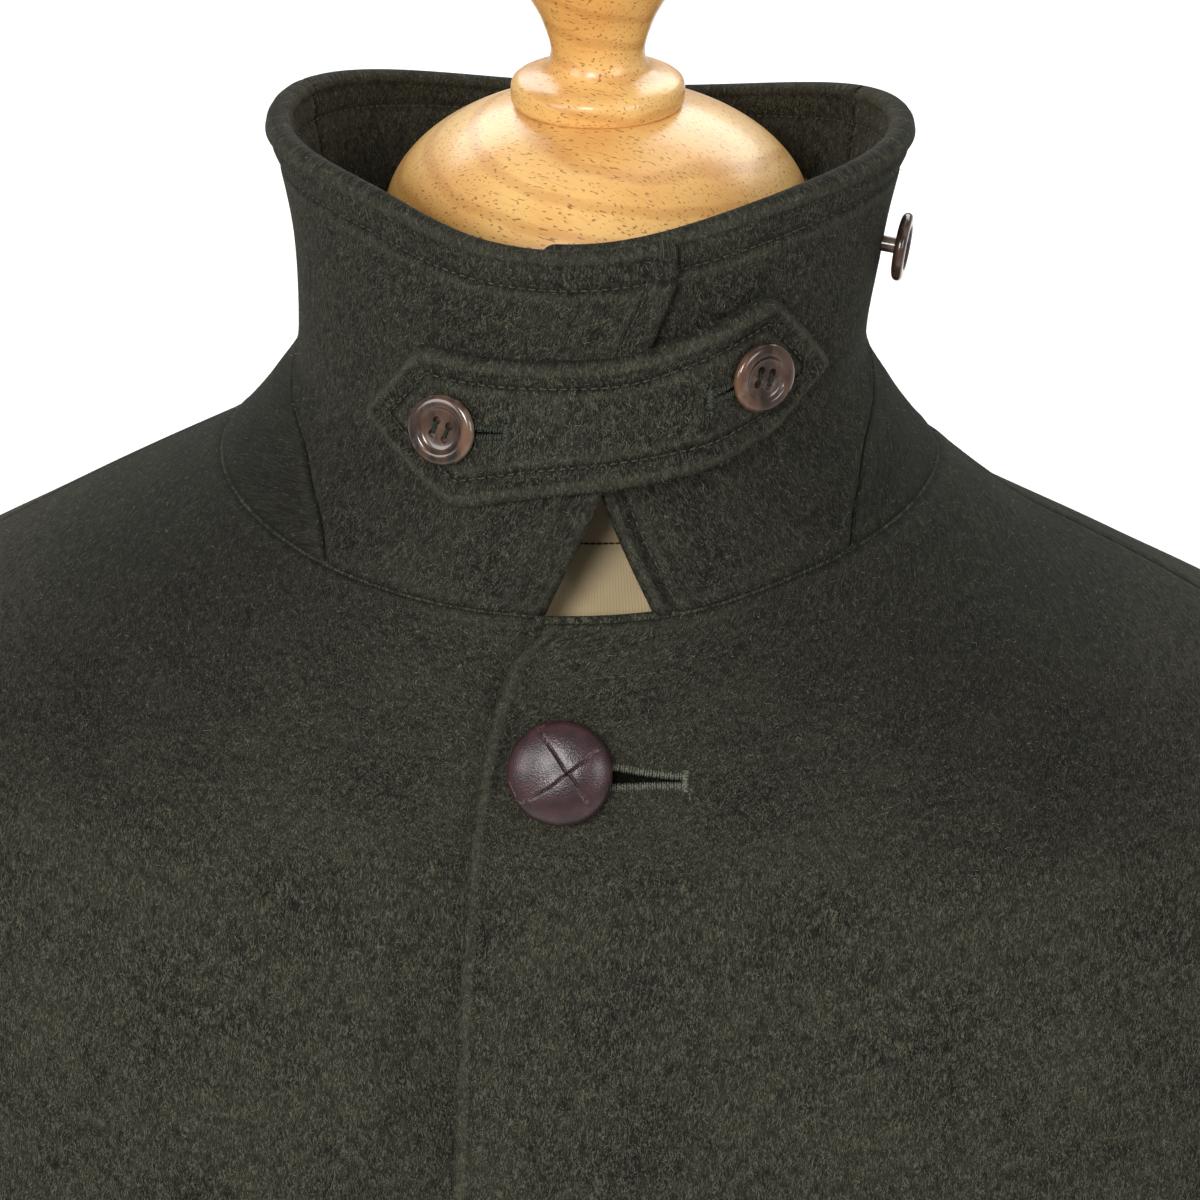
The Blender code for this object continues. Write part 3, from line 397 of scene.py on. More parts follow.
def body_relief(angle: Array, height: Array) -> Array:
    """Soft folds and unevenness of the body's cloth, in mm outwards.

    Args:
        angle: angles round the body, in radians.
        height: heights from the neck level, in mm.

    Returns:
        The relief; it fades out at the neck seam, where the collar is sewn on.
    """
    degrees = np.degrees(np.asarray(angle, float))
    degrees = (degrees + 90) % 360 - 90
    total = np.zeros(np.broadcast(degrees, height).shape)
    for fold in BODY_FOLDS:
        ax, ay = fold.degrees_a * ARC_PER_DEGREE, fold.height_a
        bx, by = fold.degrees_b * ARC_PER_DEGREE, fold.height_b
        away = (degrees - fold.degrees_a + 180) % 360 - 180
        px, py = away * ARC_PER_DEGREE, height - ay
        dx, dy = (bx - ax + 522) % 1044 - 522, by - ay
        length = math.hypot(dx, dy)
        along = (px * dx + py * dy) / length**2
        nearest = np.clip(along, 0, 1)
        off = np.hypot(px - nearest * dx, py - nearest * dy)
        ends = smooth_step(nearest / 0.3) * smooth_step((1 - nearest) / 0.3)
        deeper = 1 + 1.1 * smooth_step((-140 - height) / 160)
        total += fold.depth * deeper * bell(off, fold.width) * (0.25 + 0.75 * ends)
    radians = np.radians(degrees)
    waves = (0.42 * np.sin(3 * radians + height / 61 + 0.7) * np.sin(height / 83 + 2 * radians)
             + 0.26 * np.sin(7 * radians - height / 37 + 1.9)
             + 0.13 * np.sin(13 * radians + height / 21 + 0.4) * np.cos(height / 29 - 1))
    hem = 1 + 1.6 * smooth_step((-430 - height) / 500)
    shoulder = smooth_step((-2 - height) / 34)
    room = np.maximum(smooth_step((-90 - height) / 60), bell(degrees, 32))
    raised = np.maximum(total + waves * hem, -0.35 - 2.6 * room - 3.0 * bell(degrees, 26))
    return raised * shoulder


def collar_relief(angle: Array, height: Array) -> Array:
    """Slight unevenness of the collar's cloth, in mm outwards; it fades at the neck seam."""
    swell = (0.34 * np.sin(3 * angle + height / 23 + 0.5) + 0.2 * np.sin(7 * angle - height / 17 + 2)
             + 0.8 * bell(angle - 1.05, 0.22) * bell(height - 42, 26)
             - 0.8 * bell(angle + 0.85, 0.2) * bell(height - 36, 24)
             + 0.6 * bell(np.abs(angle) - 2.4, 0.3) * bell(height - 50, 30))
    return swell * smooth_step((height - 6) / 16)


# ------------------------------------------------------------------ sheets of cloth


@dataclass(frozen=True)
class EdgeFinish:
    """How a sheet ends at one of its edges, in mm."""

    roll: float = 0.0         # radius of a turned edge; 0 where it is sewn to its neighbour
    pinch: float = 0.0        # how far the cloth is drawn in behind the roll
    soft: float = 1.0         # rounding of a sewn edge
    stitch: float = 0.0       # distance of the topstitching; 0 without any
    depth: float = 0.0        # how deep the stitches draw the cloth in
    puff: float = 0.0         # crown of the cloth between the edge and its topstitching
    worn_and_painted_light: float = 0.8         # how strongly the edge gets painted highlight on its ridge and painted shade in its groove

    def marks(self) -> list[float]:
        """Distances from the edge at which the grid needs a line."""
        if self.roll:
            r = self.roll
            lines = [0, 0.05 * r, 0.2 * r, 0.5 * r, r, r + 0.9, r + 1.7, r + 2.7, r + 4.4]
        else:
            lines = [0, 0.2 * self.soft, 0.55 * self.soft, self.soft, 2.6, 5.0]
        if self.stitch:
            lines += [self.stitch + k for k in (-2.4, -1.2, -0.55, 0, 0.55, 1.2, 2.4)]
        lines.sort()
        kept = [lines[0]]
        kept += [line for last, line in zip(lines, lines[1:]) if line - last > 0.12]
        return kept

    def thickness(self, away: Array, half: float) -> Array:
        """Share of the cloth's half thickness at distances from the edge."""
        if not self.roll:
            inside = np.clip(1 - away / self.soft, 0, 1)
            return 1 - 0.5 * (1 - np.sqrt(1 - inside**2))
        r = self.roll
        on_roll = np.sqrt(np.maximum(r * r - np.clip(r - away, 0, r) ** 2, 0))
        behind = half + (r - half) * bell(away - r, 1.7) - self.pinch * bell(away - r - 1.7, 1.0)
        return np.where(away < r, on_roll, behind) / half

    def relief(self, away: Array) -> Array:
        """Rise of both faces of the cloth at distances from the edge, in mm."""
        rise = np.zeros(np.shape(away))
        if not self.roll:
            rise = rise - 0.5 * bell(away, 1.7) + 0.3 * bell(away - 4.2, 2.0)
        if self.stitch:
            rise = rise - self.depth * bell(away - self.stitch, STITCH_REACH)
            rise = rise + self.puff * np.sin(np.pi * np.clip(away / self.stitch, 0, 1)) ** 2
        return rise

    def wear(self, away: Array) -> Array:
        """Painted highlight on the ridges and painted shade in the grooves, by distance from the edge."""
        if not self.roll:
            return np.stack([0.5 * bell(away - 3.6, 1.3), bell(away, 1.1)], -1) * self.worn_and_painted_light
        ridge, groove = bell(away - 0.75 * self.roll, 0.32 * self.roll), 0.9 * bell(away, 0.4)
        if self.stitch:
            ridge = ridge + 0.45 * bell(away - self.stitch - 2.3, 0.9)
            groove = groove + bell(away - self.stitch, 0.85)
        return np.stack([ridge, groove], -1) * self.worn_and_painted_light


SEWN = EdgeFinish()
FRONT_EDGE = EdgeFinish(roll=3.1, pinch=0.15, worn_and_painted_light=0.6)
HEM_EDGE = EdgeFinish(roll=1.8, pinch=0.1, stitch=38, depth=0.25, puff=0.2)
RIM_EDGE = EdgeFinish(roll=3.4, pinch=0.9, stitch=12.0, depth=0.75, puff=0.8)
RIGHT_END_EDGE = EdgeFinish(roll=2.9, pinch=0.45, stitch=8.4, depth=0.6, puff=0.7, worn_and_painted_light=0.38)
LEFT_END_EDGE = EdgeFinish(roll=2.8, pinch=0.5, stitch=5.6, depth=0.8, puff=0.5, worn_and_painted_light=0.62)
TAB_EDGE = EdgeFinish(roll=3.2, pinch=0.7, stitch=7.2, depth=0.85, puff=0.8)


END_EDGES = {Side.LEFT: LEFT_END_EDGE, Side.RIGHT: RIGHT_END_EDGE}


def spread(length: float, start: Sequence[float], end: Sequence[float], step: float) -> Array:
    """Grid lines across a sheet: an edge's own lines at each side and even ones between.

    Args:
        length: the sheet's width, in mm.
        start: distances of lines from the first edge.
        end: distances of lines from the last edge.
        step: the widest space between the lines in the middle.

    Returns:
        Rising places from 0 to the length.
    """
    first, last = np.array(start), length - np.array(end)[::-1]
    count = max(2, int(math.ceil((last[0] - first[-1]) / step)))
    return np.concatenate([first, np.linspace(first[-1], last[0], count + 1)[1:-1], last])


def graded(length: float, start: Sequence[float], end: Sequence[float], step: float,
           last_step: float) -> Array:
    """Grid lines down a sheet, closer at its top, where the eye comes near.

    Args:
        length: the sheet's length, in mm.
        start: distances of lines from the top edge.
        end: distances of lines from the bottom edge.
        step: space between lines at the top.
        last_step: space between lines at the bottom.

    Returns:
        Rising places from 0 to the length.
    """
    lines = list(start)
    stop = length - end[-1]
    while lines[-1] < stop - 0.6 * last_step:
        share = np.clip((lines[-1] - 260) / 400, 0, 1)
        lines.append(lines[-1] + step + (last_step - step) * share)
    lines = lines[:-1] if lines[-1] > stop - 0.3 * last_step else lines
    return np.concatenate([lines, length - np.array(end)[::-1]])


@dataclass
class Sheet:
    """A sheet of cloth cut on a loft, between two side edges and two rows.

    start_edge and end_edge give the angles of the side edges at places down the loft.
    """

    loft: RingLoft
    wall: float
    start_edge: Callable[[Array], Array]
    end_edge: Callable[[Array], Array]
    top: float
    bottom: float
    edges: tuple[EdgeFinish, EdgeFinish, EdgeFinish, EdgeFinish]  # start, end, top, bottom
    lift: Callable[[Array], Array]
    relief: Callable[[Array, Array], Array]
    step: float = 5.0
    steps: tuple[float, float] = (3.4, 12.0)
    corner: float = 0.0       # radius of the corner between the start edge and the top edge

    def grid(self) -> tuple[Array, Array, Array, Array]:
        """Lays the sheet's grid.

        Returns:
            Angles, places, distances from the four edges (4, rows, columns) and the
            round-the-body coordinate of each point.
        """
        start, end, top, bottom = (edge.marks() for edge in self.edges)
        length = abs(self.bottom - self.top)
        rows = graded(length, top, bottom, *self.steps)
        sense = 1 if self.bottom > self.top else -1
        row_places = self.top + sense * rows
        first, last = self.start_edge(row_places), self.end_edge(row_places)
        dense = np.linspace(0, 1, 181)
        angle = first[:, None] + (last - first)[:, None] * dense[None, :]
        points = self.loft.points(angle, np.repeat(row_places[:, None], len(dense), axis=1))
        lengths = np.linalg.norm(np.diff(points, axis=1), axis=-1).cumsum(axis=1)
        lengths = np.concatenate([np.zeros((len(rows), 1)), lengths], axis=1)
        widest = lengths[:, -1].max()
        lines = spread(widest, start, end, self.step)
        n_start, n_end = len(start), len(end)
        across = np.empty((len(rows), len(lines)))
        for i, width in enumerate(lengths[:, -1]):
            inner = lines[n_start - 1:len(lines) - n_end + 1]
            share = (inner - inner[0]) / (inner[-1] - inner[0])
            low, high = start[-1], width - end[-1]
            if high - low < 4:
                squeeze = 0.45 * width / max(start[-1], end[-1])
                low, high = start[-1] * squeeze, width - end[-1] * squeeze
                across[i, :n_start] = np.array(start) * squeeze
                across[i, len(lines) - n_end:] = width - np.array(end)[::-1] * squeeze
            else:
                across[i, :n_start] = start
                across[i, len(lines) - n_end:] = width - np.array(end)[::-1]
            across[i, n_start - 1:len(lines) - n_end + 1] = low + (high - low) * share
        down = np.repeat(rows[:, None], len(lines), axis=1)
        away = np.stack([across, lengths[:, -1:] - across, down, length - down])
        if self.corner:
            across, down, away = self.round_corner(across, down, away)
        angles, places = np.empty(across.shape), self.top + sense * down
        for i in range(len(rows)):
            share = np.interp(across[i], lengths[i], dense)
            row_first, row_last = self.start_edge(places[i]), self.end_edge(places[i])
            angles[i] = row_first + (row_last - row_first) * share
        return angles, places, away, across

    def round_corner(self, across: Array, down: Array, away: Array) -> tuple[Array, Array, Array]:
        """Bends the grid's corner at the start of the top edge round an arc."""
        r = self.corner
        a, b = np.clip(1 - across / r, 0, 1), np.clip(1 - down / r, 0, 1)
        inside = (a > 0) & (b > 0)
        bent_a, bent_b = a * np.sqrt(1 - b * b / 2), b * np.sqrt(1 - a * a / 2)
        across = np.where(inside, r * (1 - bent_a), across)
        down = np.where(inside, r * (1 - bent_b), down)
        away = away.copy()
        arc = r * (1 - np.hypot(bent_a, bent_b))
        away[0] = np.where(inside, np.maximum(arc, 0), away[0])
        away[2] = np.where(inside, r, away[2])
        return across, down, away

    def skins(self) -> tuple[Array, Array, Array, Array]:
        """Outer and inner skin points in mm, the cloth's grain coordinates and its painted light: highlight
        on ridges, shade in grooves and on faces that look up near the neck.
        """
        angles, places, away, across = self.grid()
        half = self.wall / 2
        base = self.loft.points(angles, places)
        normal = self.loft.normals(angles, places)
        relief = self.relief(angles, base[..., 2])
        middle = base + outward(angles) * self.lift(base)[..., None] + normal * (relief - half)[..., None]
        thick = np.ones(angles.shape)
        rise, wear = np.zeros(angles.shape), np.zeros((*angles.shape, 2))
        for edge, distance in zip(self.edges, away):
            thick = thick * edge.thickness(distance, half)
            rise = rise + edge.relief(distance)
            wear = np.maximum(wear, edge.wear(distance))
        # painted shade: faces that look up, near the neck, are darkened in the cloth's colour (third channel)
        near_neck = 1 - smooth_step((np.abs(base[..., 0]) - 120) / 100)
        over = smooth_step((normal[..., 2] - 0.05) / 0.95) * near_neck
        wear = np.concatenate([wear, over[..., None]], -1)
        rise = rise * np.clip(thick, 0, 1)
        outer = middle + normal * (half * thick + rise)[..., None]
        inner = middle - normal * (half * thick + rise)[..., None]
        return outer, inner, np.stack([across, away[2]], -1), wear


def quads_of(index: Array, closed: bool = False) -> Array:
    """The corners of the faces between neighbours in a grid of point numbers.

    Args:
        index: point numbers, rows by columns, in any number of separate grids.
        closed: whether the last column joins the first.

    Returns:
        Faces by 4.
    """
    if closed:
        index = np.concatenate([index, index[..., :1]], axis=-1)
    corners = (index[..., :-1, :-1], index[..., 1:, :-1], index[..., 1:, 1:], index[..., :-1, 1:])
    return np.stack(corners, -1).reshape(-1, 4)


def tube_faces(index: Array) -> list:
    """The faces of tubes, ends among them, from point numbers: (tubes,) rings by sides."""
    ends = index[..., 0, ::-1].reshape(-1, index.shape[-1]).tolist()
    ends += index[..., -1, :].reshape(-1, index.shape[-1]).tolist()
    return quads_of(index, True)[:, [0, 3, 2, 1]].tolist() + ends


def new_mesh(name: str, points: Array, faces: list, grain: Optional[Array] = None) -> Mesh:
    """Makes a smooth mesh.

    Args:
        name: the mesh's name.
        points: its points in metres, along the last axis.
        faces: lists of point numbers.
        grain: a place on the cloth for each point, in mm, or None without a grain.

    Returns:
        The mesh.
    """
    mesh = bpy.data.meshes.new(name)
    mesh.from_pydata(points.reshape(-1, 3).tolist(), [], faces)
    if grain is not None:
        corners = np.empty(len(mesh.loops), np.int64)
        mesh.loops.foreach_get("vertex_index", corners)
        places = (grain.reshape(-1, 2)[corners] * MM).astype(np.float32)
        mesh.uv_layers.new(name="grain").data.foreach_set("uv", places.ravel())
    mesh.shade_smooth()
    return mesh


def paint(mesh: Mesh, name: str, colors: Array) -> None:
    """Gives a mesh a colour for each of its points."""
    layer = mesh.color_attributes.new(name, "FLOAT_COLOR", "POINT")
    layer.data.foreach_set("color", colors.astype(np.float32).ravel())


def close_seams(mesh: Mesh, merge: float) -> None:
    """Joins points nearer than a distance in metres and turns all faces outwards."""
    bm = bmesh.new()
    bm.from_mesh(mesh)
    bmesh.ops.remove_doubles(bm, verts=bm.verts, dist=merge)
    bmesh.ops.recalc_face_normals(bm, faces=bm.faces)
    bm.to_mesh(mesh)
    bm.free()
    mesh.shade_smooth()


def wall_mesh(name: str, outer: Array, inner: Array, grain: Array, wear: Optional[Array] = None,
              closed: bool = False) -> Mesh:
    """Joins two skins into one closed sheet with grain coordinates.

    Args:
        name: the mesh's name.
        outer: outer points in mm, rows by columns by 3.
        inner: inner points of the same shape.
        grain: rows by columns by 2, mm across and along the grain of the cloth.
        wear: rows by columns by 2 or 3, painted highlight on ridges, painted shade in grooves and painted
            shade on faces that look up.
        closed: whether the last column joins the first, as on a sleeve.

    Returns:
        The mesh, in metres.
    """
    rows, columns = outer.shape[:2]
    count = rows * columns
    index = np.arange(count).reshape(rows, columns)
    quads = quads_of(index, closed)
    if closed:
        index = np.concatenate([index, index[:, :1]], axis=1)
    strips = [index[0], index[-1]]
    if not closed:
        strips += [index[:, 0], index[:, -1]]
    faces = [quads, quads[:, ::-1] + count]
    for line in strips:
        faces.append(np.stack([line[:-1], line[1:], line[1:] + count, line[:-1] + count], -1))
    mesh = new_mesh(name, to_world(np.stack([outer, inner])), np.concatenate(faces).tolist(),
                    np.stack([grain, grain]))
    # the colour attribute nap holds painted light: highlight on ridges (red), shade in grooves (green) and on
    # faces that look up (blue)
    if wear is not None:
        colors = np.zeros((2 * count, 4))
        both = np.concatenate([wear, INNER_PAINTED_LIGHT * wear]).clip(0, 1)
        colors[:, :wear.shape[-1]] = both.reshape(2 * count, -1)
        paint(mesh, "nap", colors)
    close_seams(mesh, 2e-6)
    return mesh


def make_object(name: str, mesh: bpy.types.ID, material: Material) -> Piece:
    """Puts data into the scene as an object with one material."""
    item = bpy.data.objects.new(name, mesh)
    bpy.context.scene.collection.objects.link(item)
    mesh.materials.append(material)
    return item


def evaluated_mesh(item: Piece, name: str) -> Mesh:
    """The mesh that an object's modifiers make."""
    graph = bpy.context.evaluated_depsgraph_get()
    mesh = bpy.data.meshes.new_from_object(item.evaluated_get(graph))
    mesh.name = name
    return mesh


def apply_modifiers(item: Piece) -> None:
    """Gives an object the mesh that its modifiers make, and takes them off."""
    mesh = evaluated_mesh(item, item.name)
    item.modifiers.clear()
    item.data = mesh


def cut_with(item: Piece, solid: bmesh.types.BMesh) -> None:
    """Cuts a solid's volume out of an object and frees the solid."""
    mesh = bpy.data.meshes.new("cutter")
    solid.to_mesh(mesh)
    solid.free()
    cutter = bpy.data.objects.new("cutter", mesh)
    bpy.context.scene.collection.objects.link(cutter)
    cut = item.modifiers.new("cut", "BOOLEAN")
    cut.operation = "DIFFERENCE"
    cut.solver = "EXACT"
    cut.object = cutter
    apply_modifiers(item)
    bpy.data.objects.remove(cutter)
    item.data.shade_smooth()
    item.data.set_sharp_from_angle(angle=math.radians(50))


# ------------------------------------------------------------------ finishes


def srgb(red: int, green: int, blue: int) -> Color:
    """A colour as seen on screen, from 0 to 255, as the renderer's linear colour."""
    def linear(value: int) -> float:
        """One channel."""
        v = value / 255
        return v / 12.92 if v <= 0.04045 else ((v + 0.055) / 1.055) ** 2.4
    return linear(red), linear(green), linear(blue), 1.0


class Graph:
    """A short way to write a shader's nodes."""

    def __init__(self, tree: Tree) -> None:
        """Keeps the tree that the nodes go into."""
        self.tree = tree

    def node(self, kind: str, inputs: Optional[dict] = None, **settings: object) -> bpy.types.Node:
        """Adds a node.

        Args:
            kind: the node's type name.
            inputs: values or output sockets by the input's name or place.
            settings: the node's own properties.

        Returns:
            The node.
        """
        made = self.tree.nodes.new(kind)
        for name, value in settings.items():
            setattr(made, name, value)
        self.feed(made, inputs or {})
        return made

    def feed(self, node: bpy.types.Node, inputs: dict) -> None:
        """Gives a node's inputs, by name or place, their values or links."""
        for key, value in inputs.items():
            if isinstance(value, Socket):
                self.tree.links.new(value, node.inputs[key])
            else:
                node.inputs[key].default_value = value

    def ramp(self, factor: Socket, low: float, high: float) -> Socket:
        """Maps a value's range from low to high onto 0 to 1, smoothly."""
        made = self.node("ShaderNodeMapRange", {"Value": factor, "From Min": low, "From Max": high},
                         interpolation_type="SMOOTHSTEP")
        return made.outputs["Result"]

    def mix(self, factor: object, a: object, b: object) -> Socket:
        """Mixes two colours."""
        return self.node("ShaderNodeMix", {0: factor, 6: a, 7: b}, data_type="RGBA").outputs[2]

    def math(self, operation: str, a: object, b: object = 0.0) -> Socket:
        """Works out a sum of two values."""
        made = self.node("ShaderNodeMath", {0: a, 1: b}, operation=operation)
        return made.outputs[0]

    def noise(self, vector: Socket, scale: float, detail: float = 2.0,
              roughness: float = 0.5) -> Socket:
        """A noise texture's value."""
        made = self.node("ShaderNodeTexNoise", {"Vector": vector, "Scale": scale, "Detail": detail,
                                                "Roughness": roughness})
        return made.outputs["Fac"]

    def stretch(self, vector: Socket, scale: tuple[float, float, float], turn: float = 0.0) -> Socket:
        """Scales a vector and turns it about Z, in degrees."""
        made = self.node("ShaderNodeMapping", {"Vector": vector, "Scale": scale,
                                               "Rotation": (0, 0, math.radians(turn))})
        return made.outputs["Vector"]

    def object_place(self) -> Socket:
        """Coordinates in the piece's own metres."""
        return self.node("ShaderNodeTexCoord").outputs["Object"]

    def grain(self) -> Socket:
        """Coordinates along the cloth's grain."""
        return self.node("ShaderNodeUVMap", uv_map="grain").outputs["UV"]

    def between(self, factor: Socket, low: float, high: float) -> Socket:
        """Maps 0 to 1 onto low to high."""
        made = self.node("ShaderNodeMapRange", {"Value": factor, "To Min": low, "To Max": high})
        return made.outputs["Result"]

    def marks(self, layer: str) -> bpy.types.NodeOutputs:
        """The red, green and blue of a colour attribute."""
        color = self.node("ShaderNodeVertexColor", layer_name=layer).outputs["Color"]
        return self.node("ShaderNodeSeparateColor", {"Color": color}).outputs


class Look(Graph):
    """A material that is being made, with its Principled shader."""

    def __init__(self, name: str) -> None:
        """Makes a material with a plain shader."""
        self.material = bpy.data.materials.new(name)
        self.material.use_nodes = True
        super().__init__(self.material.node_tree)
        self.shader = self.tree.nodes["Principled BSDF"]

    def finish(self, color: Socket, height: Optional[Socket] = None, strength: float = 0.0,
               depth: float = 0.0, **values: object) -> Material:
        """Feeds the shader.

        Args:
            color: the base colour.
            height: what raises the surface, or None on a smooth one.
            strength: how strongly the height shows.
            depth: how far the height reaches, in mm.
            values: the shader's other inputs, with _ for each space in their names.

        Returns:
            The material.
        """
        inputs = {"Base Color": color} | {name.replace("_", " "): value for name, value in values.items()}
        if height is not None:
            bump = self.node("ShaderNodeBump",
                             {"Strength": strength, "Distance": depth * MM, "Height": height})
            inputs["Normal"] = bump.outputs["Normal"]
        self.feed(self.shader, inputs)
        return self.material


def felt_group() -> Tree:
    """Shared pattern of milled and raised wool: matted fibres that lie along the grain.

    Returns:
        A group with Vector in, and Fibres, Flecks, Tone and Height out.
    """
    tree = bpy.data.node_groups.new("raised_wool", "ShaderNodeTree")
    tree.interface.new_socket("Vector", in_out="INPUT", socket_type="NodeSocketVector")
    for name in ("Fibres", "Flecks", "Tone", "Height"):
        tree.interface.new_socket(name, in_out="OUTPUT", socket_type="NodeSocketFloat")
    g = Graph(tree)
    source = g.node("NodeGroupInput").outputs[0]
    wander = g.node("ShaderNodeTexNoise", {"Vector": source, "Scale": 260.0, "Detail": 3.0})
    bend = g.node("ShaderNodeVectorMath", {0: wander.outputs["Color"], 1: (0.5, 0.5, 0.5)},
                  operation="SUBTRACT")
    small = g.node("ShaderNodeVectorMath", {0: bend.outputs[0], "Scale": 0.003}, operation="SCALE")
    bent = g.node("ShaderNodeVectorMath", {0: source, 1: small.outputs[0]}, operation="ADD").outputs[0]
    fibres = 0.0
    for turn, scale in ((4, 3500), (32, 3000), (-27, 3300), (-70, 3600)):
        strand = g.noise(g.stretch(bent, (1, 0.15, 1), turn), scale, 1.0, 0.5)
        fibres = g.math("MAXIMUM", fibres, g.ramp(strand, 0.56, 0.72))
    clump = g.noise(g.stretch(bent, (1, 0.5, 1)), 520, 3.0, 0.6)
    fibres = g.math("MULTIPLY", fibres, g.ramp(clump, 0.2, 0.62))
    fleck = g.noise(g.stretch(bent, (1, 0.12, 1), 8), 1500, 1.0, 0.4)
    flecks = g.ramp(fleck, 0.68, 0.78)
    tone = g.math("ADD", g.math("MULTIPLY", g.noise(source, 34, 3.0, 0.6), 0.55),
                  g.math("MULTIPLY", g.noise(source, 260, 2.0, 0.5), 0.45))
    height = g.math("ADD", g.math("MULTIPLY", strand, 0.7), g.math("MULTIPLY", clump, 0.8))
    g.node("NodeGroupOutput", {"Fibres": fibres, "Flecks": flecks, "Tone": tone, "Height": height})
    return tree


@dataclass(frozen=True)
class LodenFinish:
    """Milled loden with a raised nap: dark olive ground, lighter matted fibres."""

    ground: tuple = srgb(15, 15, 12)
    body: tuple = srgb(42, 42, 34)
    fibre: tuple = srgb(101, 99, 82)
    # painted highlight colour for the ridges of edges and seams
    rubbed_and_painted_highlight: tuple = srgb(84, 83, 69)
    # painted shade colour, for grooves, faces that look up and the darker copy of the cloth
    hollow: tuple = srgb(12, 12, 10)
    name: str = "loden_cloth"
    painted_shade: float = 0.0          # painted shade: how much darker this copy of the cloth is made all over
    fleck: tuple = srgb(104, 92, 70)
    roughness: float = 0.92
    sheen: float = 0.07
    bump: float = 0.55

    def make(self, wool: Tree) -> Material:
        """Builds the cloth's material from the shared wool pattern."""
        g = Look(self.name)
        felt = g.node("ShaderNodeGroup", node_tree=wool)
        g.feed(felt, {"Vector": g.grain()})
        fibres, flecks, tone, height = (felt.outputs[name] for name in ("Fibres", "Flecks", "Tone", "Height"))
        base = g.mix(g.ramp(tone, 0.32, 0.68), self.ground, self.body)
        color = g.mix(g.math("MULTIPLY", fibres, 0.72), base, self.fibre)
        color = g.mix(g.math("MULTIPLY", flecks, 0.5), color, self.fleck)
        # the nap attribute holds painted light: red lightens the ridges' fibre tips as painted highlight,
        # green and blue darken grooves and faces that look up as painted shade
        worn_and_painted_light = g.marks("nap")
        painted_ridge_light = g.math("MULTIPLY", worn_and_painted_light["Red"], g.ramp(height, 0.3, 0.9))
        color = g.mix(g.math("MULTIPLY", painted_ridge_light, 0.8), color, self.rubbed_and_painted_highlight)
        color = g.mix(g.math("MULTIPLY", worn_and_painted_light["Green"], 0.72), color, self.hollow)
        # painted shade on faces that look up, plus the painted shade of a darker copy of the cloth
        shade = g.math("MULTIPLY", worn_and_painted_light["Blue"], 0.62)
        color = g.mix(g.math("ADD", shade, self.painted_shade), color, self.hollow)
        return g.finish(color, height, self.bump, 0.7, Roughness=self.roughness, Specular_IOR_Level=0.18,
                        Sheen_Weight=self.sheen, Sheen_Roughness=0.45, Sheen_Tint=srgb(150, 152, 132))


@dataclass(frozen=True)
class FibreFinish:
    """Single wool hairs that stand out of the nap."""

    dark: tuple = srgb(50, 50, 40)
    light: tuple = srgb(130, 127, 108)

    def make(self) -> Material:
        """Builds the hairs' material, whose colour changes from place to place."""
        g = Look("loden_hairs")
        amount = g.ramp(g.noise(g.object_place(), 700, 1.0), 0.36, 0.66)
        return g.finish(g.mix(amount, self.dark, self.light), Roughness=0.8, Specular_IOR_Level=0.2)


# ------------------------------------------------------------------ the coat's pieces

ARMHOLE_Y, ARMHOLE_Z, ARMHOLE_DEPTH, ARMHOLE_HEIGHT = 3.0, -168.0, 61.0, 100.0
ARMHOLE_SIDES = 96


def dress(piece: Piece, slot: str, *nodes: str) -> Piece:
    """Lets a piece ride on the coat and stand for CAD nodes, which are hidden."""
    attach(piece, "root")
    if nodes:
        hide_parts(*nodes)
    LOG.info("%s: %d faces", piece.name, len(piece.data.polygons) if piece.type == "MESH" else 0)
    return piece


def armhole_ring(sides: int, shrink: float) -> tuple[Array, Array]:
    """Y and Z of the armhole's outline, in mm, starting at its top."""
    turn = np.linspace(0, 2 * math.pi, sides, endpoint=False)
    return (ARMHOLE_Y + (ARMHOLE_DEPTH - shrink) * np.sin(turn),
            ARMHOLE_Z + (ARMHOLE_HEIGHT - shrink) * np.cos(turn))


class Cut(NamedTuple):
    """How a sheet was cut and how the coat holds it."""

    width: float              # metres, laid flat, as are the length and the area
    length: float
    area: float
    held: str
    rests_on: tuple[str, ...]


def dress_sheet(item: Piece, node: str) -> Piece:
    """Dresses one of the coat's sheets."""
    dress(item, "loden", node)
    return item


